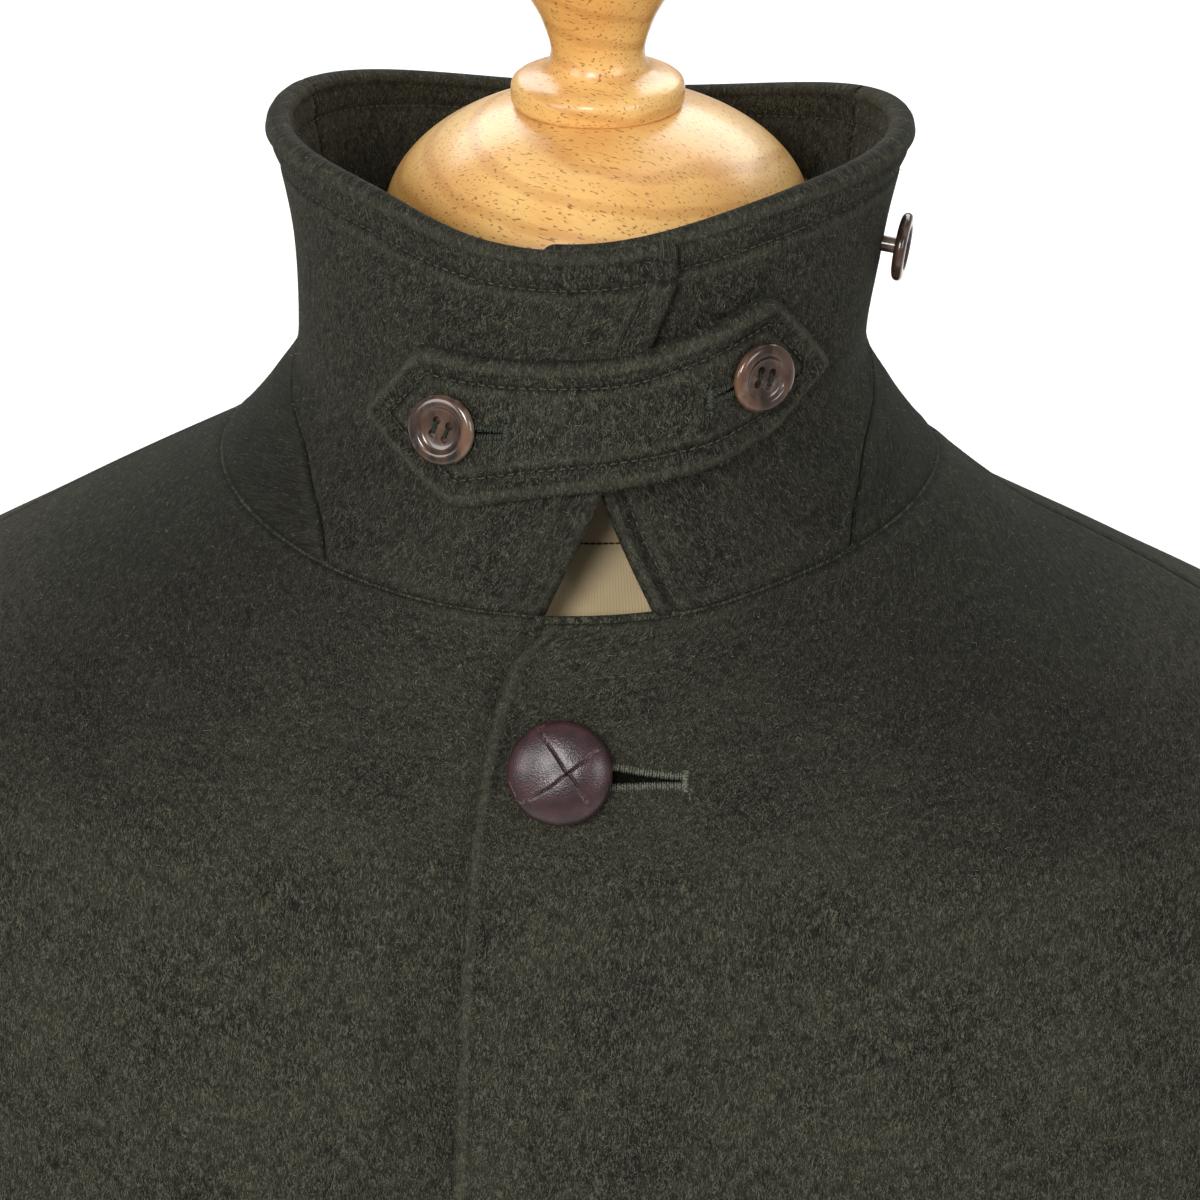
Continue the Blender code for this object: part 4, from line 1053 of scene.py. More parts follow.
@dataclass
class CoatBody:
    """The two fronts and the back, from the neck seam to the hem."""

    wall: float = BODY_WALL
    seam_gap: float = 0.3
    step: float = 5.0
    pieces: dict[str, Piece] = field(default_factory=dict)

    def side_seam(self, places: Array, side: Side, gap: float) -> Array:
        """Angles of the shoulder and side seam; gap is a step towards the back, in mm."""
        back = np.radians(edge_value(SHOULDER_SEAM, BODY.column("height", places)))
        return side.value * (math.pi / 2 + back + gap / BODY.column("half_width", places))

    def front_edge(self, places: Array, side: Side) -> Array:
        """Angles of a front's free edge."""
        heights = BODY.points(np.zeros(len(places)), places)[:, 2]
        rows = LEFT_FRONT_EDGE if side is Side.LEFT else RIGHT_FRONT_EDGE
        return BODY.angle_at_x(edge_value(rows, heights), places)

    def front(self, side: Side, cloth: Material) -> Piece:
        """Builds one front; the wearer's left one laps over the other."""
        sheet = Sheet(
            BODY, self.wall, lambda p: self.front_edge(p, side),
            lambda p: self.side_seam(p, side, -self.seam_gap / 2),
            BODY.places[0], BODY.places[-1], (FRONT_EDGE, SEWN, SEWN, HEM_EDGE),
            (lambda base: lap_lift(base[..., 0])) if side is Side.LEFT else unlifted,
            body_relief, self.step)
        return self.place(f"front_{side.name.lower()}", sheet, (side,), cloth)

    def back(self, cloth: Material) -> Piece:
        """Builds the back, between the two side seams."""
        sheet = Sheet(
            BODY, self.wall, lambda p: self.side_seam(p, Side.LEFT, self.seam_gap / 2),
            lambda p: 2 * math.pi + self.side_seam(p, Side.RIGHT, self.seam_gap / 2),
            BODY.places[0], BODY.places[-1], (SEWN, SEWN, SEWN, HEM_EDGE),
            unlifted, body_relief, self.step + 1.5, (4.2, 13.0))
        return self.place("back", sheet, (Side.LEFT, Side.RIGHT), cloth)

    def place(self, node: str, sheet: Sheet, holes: Sequence[Side], cloth: Material) -> Piece:
        """Puts a panel in the scene, cuts its armholes and dresses it."""
        item = make_object(f"coat_{node}", wall_mesh(node, *sheet.skins()), cloth)
        for side in holes:
            cut_with(item, self.armhole_cutter(side))
        self.pieces[node] = dress_sheet(item, node)
        return item

    def armhole_cutter(self, side: Side) -> bmesh.types.BMesh:
        """A prism along X with the armhole's outline."""
        y, z = armhole_ring(ARMHOLE_SIDES, 0.0)
        ends = [to_world(np.stack([np.full(len(y), x * side.value), y, z], -1)) for x in (150.0, 290.0)]
        bm = bmesh.new()
        rings = [[bm.verts.new(p) for p in ring] for ring in ends]
        for ring in rings:
            bm.faces.new(ring)
        for i in range(len(y)):
            k = (i + 1) % len(y)
            bm.faces.new((rings[0][i], rings[0][k], rings[1][k], rings[1][i]))
        bmesh.ops.recalc_face_normals(bm, faces=bm.faces)
        return bm

    def build(self, cloth: Material) -> None:
        """Builds the fronts and the back."""
        for side in Side:
            self.front(side, cloth)
        self.back(cloth)


class SleeveRing(NamedTuple):
    """One ring of a sleeve: its outer and inner lines in the XZ plane."""

    outer_x: float
    outer_z: float
    inner_x: float
    inner_z: float
    half_depth: float
    y: float


class Crease(NamedTuple):
    """A crease across the inside of a sleeve's bend."""

    height: float
    degrees: float
    reach: float
    depth: float
    spread: float
    slant: float


@dataclass
class Sleeves:
    """The two set-in sleeves, open tubes from the armholes to the cuffs."""

    rings: tuple[SleeveRing, ...] = table(SleeveRing, (
        (252, -70, 219, -269, 62.5, 2), (277, -84, 223, -276, 65.5, 1),
        (299, -114, 226.5, -285, 68.5, 0), (315, -165, 229, -298, 71.5, -2),
        (326, -232, 230.5, -325, 73, -4), (334, -310, 231.5, -366, 72, -8),
        (339, -392, 232.5, -424, 69, -13), (342, -490, 236, -505, 65, -24),
        (343, -595, 244, -600, 61, -38), (344, -690, 252, -690, 58, -50),
    ))
    creases: tuple[Crease, ...] = table(Crease, (
        (-300, 110, 70, 5.0, 16, 0), (-352, 80, 60, 6.5, 16, 0), (-408, 100, 75, 5.0, 16, 0),
        (-325, 96, 52, -2.6, 11, 6), (-380, 92, 50, -2.8, 12, -7), (-452, 118, 46, 2.4, 18, 12),
        (-225, -100, 60, 2.4, 20, -14), (-262, -70, 48, -1.8, 18, -10), (-540, 140, 60, 2.0, 24, 8),
        (-600, -60, 70, 1.6, 26, -9), (-180, 120, 50, 2.2, 19, 12),
    ))
    sides: int = 88
    step: float = 8.0

    def outline(self) -> Array:
        """Outer points of the left sleeve's rings, armhole first, in mm."""
        turn = np.linspace(0, 2 * math.pi, self.sides, endpoint=False)
        y, z = armhole_ring(self.sides, 0.45)
        place = BODY.place_at(np.full(len(z), math.pi / 2), z)
        for _ in range(3):
            place = BODY.place_at(np.full(len(z), math.pi / 2), z + 0 * place)
        power, width = BODY.column("squareness", place), BODY.column("half_width", place)
        depth = np.where(y < 0, BODY.column("front", place), BODY.column("back", place))
        side_x = width * (1 - np.abs(y / depth) ** power) ** (1 / power)
        rings = [np.stack([side_x + out, y, z], -1) for out in (-2.6, -1.0, 0.4, 1.6, 2.5)]
        lines = np.array(self.rings)
        lengths = (along_line(lines[:, 0:2]) + along_line(lines[:, 2:4])) / 2
        marks = [lengths[-1] - k for k in (4.4, 2.7, 1.9, 0.9, 0.35, 0)]
        places = np.concatenate([np.arange(0, marks[0] - 3, self.step), marks])

        def column(name: str, place: float) -> Array:
            """One of the table's columns."""
            return smooth_column(lengths, [getattr(ring, name) for ring in self.rings], place)

        for place in places:
            outer = np.array([column("outer_x", place), 0, column("outer_z", place)])
            inner = np.array([column("inner_x", place), 0, column("inner_z", place)])
            centre = (outer + inner) / 2
            ring = centre + np.cos(turn)[:, None] * (outer - centre)
            ring[:, 1] = column("y", place) + column("half_depth", place) * np.sin(turn)
            start = smooth_step(place / 30)
            rings.append(self.creased(ring, centre, turn, start))
        return np.array(rings)

    def creased(self, ring: Array, centre: Array, turn: Array, start: float) -> Array:
        """Pushes a ring's points in and out by the creases."""
        radial = ring - np.array([centre[0], ring[:, 1].mean(), centre[2]])
        radial /= np.linalg.norm(radial, axis=1)[:, None]
        depth = np.zeros(len(turn))
        for crease in self.creases:
            away = np.angle(np.exp(1j * (turn - math.radians(-crease.degrees))))
            along = (ring[:, 2] - crease.height - crease.slant * away) / crease.spread
            depth += crease.depth * np.exp(-along**2 - (away / math.radians(crease.reach)) ** 2)
        height = ring[:, 2]
        depth += 0.7 * np.sin(3 * turn + height / 57) * np.sin(height / 71 + 1.3)
        depth += 0.35 * np.sin(5 * turn - height / 33 + 1)
        return ring - radial * (depth * start)[:, None]

    def inset(self, rings: Array, walls: Array) -> Array:
        """The rings moved in across their own planes, by each ring's wall in mm."""
        result = np.empty(rings.shape)
        for i, ring in enumerate(rings):
            centre = ring.mean(axis=0)
            along = np.roll(ring, -1, axis=0) - np.roll(ring, 1, axis=0)
            inward = np.cross(along, np.linalg.svd(ring - centre)[2][2])
            inward /= np.linalg.norm(inward, axis=1)[:, None]
            towards = np.sum(inward * (centre - ring), axis=1)
            result[i] = ring + inward * np.sign(towards)[:, None] * walls[i]
        return result

    def build(self, cloth: Material) -> list[Piece]:
        """Builds both sleeves; each ends in a turned cuff edge."""
        outline = self.outline()
        steps = np.linalg.norm(np.diff(outline, axis=0), axis=-1).mean(axis=1)
        down = np.concatenate([[0], steps.cumsum()])
        from_cuff = down[-1] - down
        half = BODY_WALL / 2
        cuff = EdgeFinish(roll=1.8, pinch=0.1)
        thick = cuff.thickness(from_cuff, half) * SEWN.thickness(down, half)
        outline = self.inset(outline, half - half * thick)
        made = []
        for side in Side:
            rings = outline * np.array([side.value, 1, 1])
            inner = self.inset(rings, 2 * half * thick)
            ring_step = np.linalg.norm(np.roll(rings, -1, axis=1) - rings, axis=-1).cumsum(axis=1)
            grain = np.stack([ring_step, np.repeat(down[:, None], rings.shape[1], axis=1)], -1)
            name = f"sleeve_{side.name.lower()}"
            item = make_object(f"coat_{name}", wall_mesh(name, rings, inner, grain, closed=True), cloth)
            made.append(dress_sheet(item, name))
        return made


@dataclass
class Collar:
    """The turned-up collar: two front pieces that cross, and one back piece."""

    wall: float = COLLAR_WALL
    seam_gap: float = 0.3
    step: float = 2.4
    corner: float = 5.0       # radius of the collar ends' upper corners
    neck_height: float = -6.0
    crossing_height: float = 30.0
    pieces: dict[str, Piece] = field(default_factory=dict)

    def seam(self, places: Array, side: Side, gap: float) -> Array:
        """Angles of the seam between a front piece and the back piece."""
        angle = np.full(len(places), math.radians(70))
        for _ in range(8):
            height = COLLAR.points(side.value * angle, places)[:, 2]
            angle = np.radians(side.value * COLLAR_CENTRE + edge_value(COLLAR_SEAM, height))
        radius = np.hypot(*COLLAR.points(side.value * angle, places)[:, :2].T)
        return side.value * (angle + gap / radius)

    def free_edge(self, places: Array, side: Side) -> Array:
        """Angles of a front piece's free end."""
        rows = LEFT_COLLAR_EDGE if side is Side.LEFT else RIGHT_COLLAR_EDGE
        angle = np.zeros(len(places))
        for _ in range(6):
            height = COLLAR.points(angle, places)[:, 2]
            angle = COLLAR.angle_at_x(edge_value(rows, height), places)
        return angle

    def lift(self, base: Array, side: Side) -> Array:
        """Lift of a front piece: it follows its own front panel at the neck seam."""
        above_seam = smooth_step((base[..., 2] - self.neck_height) / self.crossing_height)
        if side is Side.LEFT:
            return lap_lift(base[..., 0]) * (1 - above_seam)
        return overlap_lift(base[..., 0]) * above_seam

    def build(self, cloth: Material) -> None:
        """Builds the collar's three pieces from the rim down."""
        rim, seam = COLLAR.places[-1], COLLAR.places[0] + self.seam_gap
        half_gap = self.seam_gap / 2
        for side in Side:
            sheet = Sheet(
                COLLAR, self.wall, lambda p, s=side: self.free_edge(p, s),
                lambda p, s=side: self.seam(p, s, -half_gap), rim, seam,
                (END_EDGES[side], SEWN, RIM_EDGE, SEWN), lambda base, s=side: self.lift(base, s),
                collar_relief, self.step, (2.4, 2.4), self.corner)
            self.place(f"collar_front_{side.name.lower()}", sheet, cloth)
        sheet = Sheet(
            COLLAR, self.wall, lambda p: self.seam(p, Side.LEFT, half_gap),
            lambda p: 2 * math.pi + self.seam(p, Side.RIGHT, half_gap), rim, seam,
            (SEWN, SEWN, RIM_EDGE, SEWN), unlifted, collar_relief, self.step, (2.4, 2.4))
        self.place("collar_back", sheet, cloth)

    def place(self, node: str, sheet: Sheet, cloth: Material) -> None:
        """Puts one piece in the scene and dresses it."""
        item = make_object(f"coat_{node}", wall_mesh(node, *sheet.skins()), cloth)
        self.pieces[node] = dress_sheet(item, node)

    def surface(self, degrees: Array, below_rim: Array, side: Optional[Side],
                inside: bool = False) -> tuple[Array, Array]:
        """Points and outward normals on the collar's cloth.

        Args:
            degrees: angles round the collar.
            below_rim: distances down from the rim, in mm.
            side: the front piece that the points are on, or None on the back one.
            inside: whether the points are on the collar's inner face.

        Returns:
            Points in mm and unit normals that point away from the cloth.
        """
        angle = np.radians(np.asarray(degrees, float))
        place = COLLAR.places[-1] - np.asarray(below_rim, float)
        base = COLLAR.points(angle, place)
        normal = COLLAR.normals(angle, place)
        lift = self.lift(base, side) if side else unlifted(base)
        drawn = RIM_EDGE.depth * bell(np.asarray(below_rim) - RIM_EDGE.stitch, STITCH_REACH)
        rise = collar_relief(angle, base[..., 2]) - drawn
        point = base + outward(angle) * lift[..., None] + normal * rise[..., None]
        if inside:
            point = point - normal * (self.wall - 2 * RIM_EDGE.depth)
            normal = -normal
        return point, normal


class TabRow(NamedTuple):
    """Where the throat tab's upper and lower edges lie at one of its corners."""

    top_degrees: float
    top_height: float
    low_degrees: float
    low_height: float


@dataclass
class ThroatTab:
    """The doubled tab across the collar's ends, pointed at both of its own."""

    wall: float = COLLAR_WALL
    rows: tuple[TabRow, ...] = table(TabRow, (
        (-34.6, 42.2, -34.2, 41.0), (-23.7, 64.7, -14.5, 23.6), (-9.8, 64.4, -0.8, 29.0),
        (8, 65, 13.7, 31.4), (25.7, 71, 27.1, 33.4), (40.0, 75.3, 40.3, 35.9),
        (54.6, 51.6, 54.6, 50.4),
    ))
    columns: int = 150
    corner: float = 4.0       # rounding of its corners, in mm
    scale: float = 88.0       # mm for a radian round the collar
    piece: Optional[Piece] = None

    def chain(self, column: str) -> Array:
        """One long edge of the tab as dense points, angle in mm round the collar and height."""
        stops = np.arange(len(self.rows))
        fine = np.linspace(0, len(self.rows) - 1, 700)
        result = []
        for part in ("degrees", "height"):
            values = [getattr(row, f"{column}_{part}") for row in self.rows]
            middle = smooth_column(stops[1:-1], values[1:-1], fine)
            ends = (fine < 1) | (fine > len(self.rows) - 2)
            result.append(np.where(ends, np.interp(fine, stops, values), middle))
        line = np.stack(result, -1)
        line[:, 0] = np.radians(line[:, 0]) * self.scale
        return line

    def outline(self) -> tuple[Array, Array]:
        """The upper and lower edges with rounded corners, from the right point to the left."""
        top, low = self.chain("top"), self.chain("low")
        loop = np.concatenate([top, low[::-1]])
        closed = np.concatenate([loop, loop[:1]])
        at = along_line(closed)
        even = np.arange(0, at[-1], 0.25)
        even_loop = np.stack([np.interp(even, at, closed[:, k]) for k in (0, 1)], -1)
        reach = int(self.corner / 0.25 / 2)
        kernel = np.ones(2 * reach + 1) / (2 * reach + 1)
        smooth = even_loop
        for _ in range(2):
            padded = np.concatenate([smooth[-reach:], smooth, smooth[:reach]])
            smooth = np.stack([np.convolve(padded[:, k], kernel, "valid") for k in (0, 1)], -1)
        right, left = int(np.argmin(smooth[:, 0])), int(np.argmax(smooth[:, 0]))
        smooth = np.roll(smooth, -right, axis=0)
        left = (left - right) % len(smooth)
        upper = smooth[:left + 1]
        lower = np.concatenate([smooth[left:], smooth[:1]])[::-1]
        return self.resample(upper), self.resample(lower)

    def resample(self, line: Array) -> Array:
        """The line's points for the tab's columns, closer together near its ends."""
        at = along_line(line)
        share = np.linspace(0, 1, self.columns + 1)
        share = 0.8 * share + 0.2 * (1 - np.cos(np.pi * share)) / 2
        return np.stack([np.interp(share * at[-1], at, line[:, k]) for k in (0, 1)], -1)

    def on_collar(self, flat: Array) -> tuple[Array, Array]:
        """Points of the tab's outside, and outward normals, above places on the flat tab."""
        angle = flat[..., 0] / self.scale
        place = COLLAR.place_at(angle, flat[..., 1])
        base = COLLAR.points(angle, place)
        normal = COLLAR.normals(angle, place)
        rise = collar_relief(angle, base[..., 2])
        return base + outward(angle) * tab_lift(base[..., 0])[..., None] + normal * rise[..., None], normal

    def from_edge(self, flat: Array) -> Array:
        """Distance of flat places from the tab's outline, in mm."""
        top, low = self.outline()
        loop = np.concatenate([top, low[::-1]])
        start, step = loop, np.roll(loop, -1, axis=0) - loop
        size = np.maximum((step**2).sum(1), 1e-9)
        away = np.full(flat.shape[:-1], 1e9)
        for a, d, n in zip(start, step, size):
            share = np.clip(((flat - a) @ d) / n, 0, 1)
            away = np.minimum(away, np.linalg.norm(flat - a - share[..., None] * d, axis=-1))
        return away

    def build(self, cloth: Material) -> None:
        """Builds the tab with rolled edges and a crown inside its topstitching."""
        top, low = self.outline()
        spans = np.linalg.norm(top - low, axis=1)
        marks = np.array(TAB_EDGE.marks())
        widest = spans.max()
        lines = spread(widest, marks, marks, 1.5)
        flat = np.empty((len(lines), len(top), 2))
        for j, span in enumerate(spans):
            squeeze = min(1.0, 0.44 * span / marks[-1])
            inner = lines[len(marks) - 1:len(lines) - len(marks) + 1]
            share = (inner - inner[0]) / (inner[-1] - inner[0])
            low_end, high_end = marks[-1] * squeeze, span - marks[-1] * squeeze
            down = np.concatenate([marks * squeeze, (low_end + (high_end - low_end) * share)[1:-1],
                                   span - marks[::-1] * squeeze]) / max(span, 1e-6)
            flat[:, j] = top[j] + (low[j] - top[j]) * down[:, None]
        away = self.from_edge(flat)
        outside, normal = self.on_collar(flat)
        half = self.wall / 2
        thick = TAB_EDGE.thickness(away, half)
        rise = TAB_EDGE.relief(away) * np.clip(thick, 0, 1)
        middle = outside - normal * half
        outer = middle + normal * (half * thick + rise)[..., None]
        inner = middle - normal * (half * np.clip(thick, 0, 1))[..., None]
        # the tab's edges carry painted highlight on their ridges and painted shade in their grooves
        mesh = wall_mesh("throat_tab", outer, inner, flat, TAB_EDGE.wear(away))
        self.piece = dress_sheet(make_object("coat_throat_tab", mesh, cloth), "throat_tab")


# ------------------------------------------------------------------ turned and stitched details


class ProfileRow(NamedTuple):
    """One point of a turned profile, in mm."""

    radius: float
    height: float


def finer(rows: Sequence[ProfileRow], spacing: float) -> list[ProfileRow]:
    """The profile with its rows joined by a smooth curve, a point every so many mm."""
    lengths = along_line(np.array(rows, float))
    places = np.linspace(0, lengths[-1], max(len(rows), int(lengths[-1] / spacing)))
    radii = smooth_column(lengths, [row.radius for row in rows], places)
    heights = smooth_column(lengths, [row.height for row in rows], places)
    return [ProfileRow(float(r), float(h)) for r, h in zip(radii, heights)]


def turned_mesh(name: str, profile: Sequence[ProfileRow], sides: int) -> Mesh:
    """Turns a profile, given top to bottom, about Z.

    Args:
        name: the mesh's name.
        profile: radii and heights in mm; a radius of 0 closes the form.
        sides: how many sides go round.

    Returns:
        The closed mesh, in metres.
    """
    turn = np.linspace(0, 2 * math.pi, sides, endpoint=False)
    bm = bmesh.new()
    rings = []
    for row in profile:
        if row.radius < 1e-6:
            rings.append([bm.verts.new((0, 0, row.height * MM))])
        else:
            rings.append([bm.verts.new((row.radius * MM * math.cos(t), row.radius * MM * math.sin(t),
                                        row.height * MM)) for t in turn])
    for upper, lower in zip(rings, rings[1:]):
        for i in range(sides):
            k = (i + 1) % sides
            corners = [upper[i % len(upper)], upper[k % len(upper)],
                       lower[k % len(lower)], lower[i % len(lower)]]
            unique = list(dict.fromkeys(corners))
            if len(unique) > 2:
                bm.faces.new(unique)
    bmesh.ops.recalc_face_normals(bm, faces=bm.faces)
    mesh = bpy.data.meshes.new(name)
    bm.to_mesh(mesh)
    bm.free()
    mesh.shade_smooth()
    mesh.set_sharp_from_angle(angle=math.radians(45))
    return mesh


class Seat(NamedTuple):
    """Where a small piece sits: a point in mm, and its across, up and out directions."""

    point: Array
    across: Array
    up: Array
    out: Array


def seat_at(point: Array, normal: Array) -> Seat:
    """A level seat on a surface."""
    out = normal / np.linalg.norm(normal)
    across = np.cross([0, 0, 1], out)
    across /= np.linalg.norm(across)
    return Seat(np.asarray(point, float), across, np.cross(out, across), out)


def move_to_seat(mesh: Mesh, seat: Seat, gap: float) -> None:
    """Moves a mesh made about Z so that its foot is a gap, in mm, above its seat."""
    points = np.empty(len(mesh.vertices) * 3)
    mesh.vertices.foreach_get("co", points)
    points = points.reshape(-1, 3)
    place = to_world(seat.point) + seat.out * gap * MM
    moved = place + points[:, :1] * seat.across + points[:, 1:2] * seat.up + points[:, 2:] * seat.out
    mesh.vertices.foreach_set("co", moved.ravel())
    mesh.update()


def threads_mesh(name: str, starts: Array, ends: Array, normals: Array, radius: float, bow: float,
                 sides: int = 5, cuts: int = 4) -> Mesh:
    """Short bowed threads, joined into one mesh.

    Args:
        name: the mesh's name.
        starts: where each thread starts, in mm.
        ends: where it ends.
        normals: the way that each one bows.
        radius: the threads' radius, in mm.
        bow: how far their middles rise, in mm.
        sides: sides round a thread.
        cuts: rings along a thread between its pointed ends.

    Returns:
        The mesh, in metres.
    """
    along = ends - starts
    along = along / np.maximum(np.linalg.norm(along, axis=1, keepdims=True), 1e-9)
    side = np.cross(along, normals)
    side /= np.maximum(np.linalg.norm(side, axis=1, keepdims=True), 1e-9)
    up = np.cross(side, along)
    turn = np.linspace(0, 2 * math.pi, sides, endpoint=False)
    rings = []
    for share in np.linspace(0, 1, cuts + 2):
        middle = starts + (ends - starts) * share + normals * (bow * math.sin(math.pi * share))
        size = radius * max(0.12, math.sin(math.pi * share) ** 0.45)
        rings.append(middle[:, None] + size * (np.cos(turn)[None, :, None] * side[:, None]
                                               + np.sin(turn)[None, :, None] * up[:, None]))
    points = np.stack(rings, 1)                       # thread, ring, side, xyz
    index = np.arange(points.size // 3).reshape(points.shape[:3])
    return new_mesh(name, to_world(points), tube_faces(index))


def stitch_group() -> Tree:
    """Geometry nodes that lay sewn stitches along lines.

    Returns:
        A group whose inputs are the lines, the pitch, length and radius of a stitch
        in metres, and the thread's material.
    """
    tree = bpy.data.node_groups.new("topstitching", "GeometryNodeTree")
    face = tree.interface
    face.new_socket("Geometry", in_out="INPUT", socket_type="NodeSocketGeometry")
    for name in ("Pitch", "Length", "Radius"):
        face.new_socket(name, in_out="INPUT", socket_type="NodeSocketFloat")
    face.new_socket("Thread", in_out="INPUT", socket_type="NodeSocketMaterial")
    face.new_socket("Geometry", in_out="OUTPUT", socket_type="NodeSocketGeometry")
    g = Graph(tree)
    source = g.node("NodeGroupInput").outputs
    curve = g.node("GeometryNodeMeshToCurve", {"Mesh": source["Geometry"]}).outputs["Curve"]
    points = g.node("GeometryNodeResampleCurve", {"Curve": curve, "Length": source["Pitch"]}, mode="LENGTH")
    tangent = g.node("GeometryNodeInputTangent").outputs["Tangent"]
    align = g.node("FunctionNodeAlignRotationToVector", {"Vector": tangent}, axis="Z")
    ball = g.node("GeometryNodeMeshUVSphere", {"Segments": 6, "Rings": 5, "Radius": 1.0})
    half = g.math("MULTIPLY", source["Length"], 0.5)
    size = g.node("ShaderNodeCombineXYZ", {"X": source["Radius"], "Y": source["Radius"], "Z": half})
    stitches = g.node("GeometryNodeInstanceOnPoints", {
        "Points": points.outputs["Curve"], "Instance": ball.outputs["Mesh"],
        "Rotation": align.outputs["Rotation"], "Scale": size.outputs["Vector"]})
    real = g.node("GeometryNodeRealizeInstances", {"Geometry": stitches.outputs["Instances"]})
    dyed = g.node("GeometryNodeSetMaterial",
                  {"Geometry": real.outputs["Geometry"], "Material": source["Thread"]})
    g.node("NodeGroupOutput", {"Geometry": dyed.outputs["Geometry"]})
    return tree


def sew(name: str, lines: Sequence[Array], group: Tree, thread: Material,
        pitch: float = 2.7, length: float = 2.1, radius: float = 0.27) -> Piece:
    """Lays topstitching along lines on the cloth.

    Args:
        name: the piece's name.
        lines: each line's points in mm, already on the cloth.
        group: the stitch nodes.
        thread: the thread's material.
        pitch: from one stitch to the next, in mm.
        length: how much of a stitch shows, in mm.
        radius: the thread's radius, in mm.

    Returns:
        The dressed piece.
    """
    points, edges, start = [], [], 0
    for line in lines:
        points.append(to_world(line))
        edges += [(start + i, start + i + 1) for i in range(len(line) - 1)]
        start += len(line)
    mesh = bpy.data.meshes.new(name)
    mesh.from_pydata(np.concatenate(points).tolist(), edges, [])
    item = make_object(name, mesh, thread)
    modifier = item.modifiers.new("stitches", "NODES")
    modifier.node_group = group
    values = {"Pitch": pitch * MM, "Length": length * MM, "Radius": radius * MM, "Thread": thread}
    for socket in group.interface.items_tree:
        if socket.in_out == "INPUT" and socket.name in values:
            modifier[socket.identifier] = values[socket.name]
    apply_modifiers(item)
    item.data.shade_smooth()
    return dress(item, "loden")


@dataclass(frozen=True)
class LeatherFinish:
    """Polished dark burgundy leather with a fine pebble grain, worn at its cut edges."""

    dark: tuple = srgb(40, 23, 26)
    body: tuple = srgb(64, 37, 41)
    worn_and_painted_light: tuple = srgb(150, 108, 92)
    # painted shade colour in the grooves between the strips
    groove: tuple = srgb(26, 17, 18)

    def make(self) -> Material:
        """Builds the leather's material; its colour attribute holds painted shade in the grooves and wear by
        the rim.
        """
        g = Look("woven_leather")
        place = g.object_place()
        tone = g.ramp(g.noise(place, 240, 3.0), 0.3, 0.7)
        # the attribute's red is painted shade in the grooves; its green is wear by the rim
        wear = g.marks("wear")
        color = g.mix(wear["Red"], g.mix(tone, self.dark, self.body), self.groove)
        rubbed_and_painted_highlight = g.math("MULTIPLY", wear["Green"], g.ramp(g.noise(place, 1500, 2.0), 0.42, 0.6))
        color = g.mix(rubbed_and_painted_highlight, color, self.worn_and_painted_light)
        cells = g.node("ShaderNodeTexVoronoi", {"Vector": place, "Scale": 2100.0})
        return g.finish(color, cells.outputs["Distance"], 0.28, 0.3, Roughness=g.between(tone, 0.36, 0.29),
                        Coat_Weight=0.3, Coat_Roughness=0.24)


@dataclass(frozen=True)
class HornFinish:
    """Polished brown horn with cloudy grey and amber streaks."""

    dark: tuple = srgb(40, 29, 24)
    body: tuple = srgb(84, 60, 46)
    amber: tuple = srgb(108, 78, 58)
    grey: tuple = srgb(122, 108, 96)

    def make(self) -> Material:
        """Builds the horn's material."""
        g = Look("polished_horn")
        place = g.object_place()
        streak = g.stretch(place, (1, 0.6, 0.28), 32)
        color = g.mix(g.ramp(g.noise(streak, 210, 4.0, 0.6), 0.35, 0.64), self.dark, self.body)
        color = g.mix(g.ramp(g.noise(streak, 120, 3.0, 0.5), 0.52, 0.7), color, self.amber)
        color = g.mix(g.ramp(g.noise(place, 95, 3.0, 0.6), 0.54, 0.72), color, self.grey)
        fine = g.noise(streak, 900, 3.0)
        return g.finish(color, fine, 0.1, 0.2, Roughness=g.between(fine, 0.12, 0.26), Coat_Weight=0.4,
                        Coat_Roughness=0.08)


@dataclass(frozen=True)
class ThreadFinish:
    """Twisted sewing thread of one colour."""

    name: str
    dark: tuple
    light: tuple
    gloss: float = 0.15

    def make(self) -> Material:
        """Builds the thread's material."""
        g = Look(self.name)
        twist = g.noise(g.stretch(g.object_place(), (1, 1, 2.2), 25), 1700, 2.0)
        color = g.mix(g.ramp(twist, 0.35, 0.65), self.dark, self.light)
        return g.finish(color, twist, 0.4, 0.1, Roughness=0.8, Specular_IOR_Level=self.gloss)


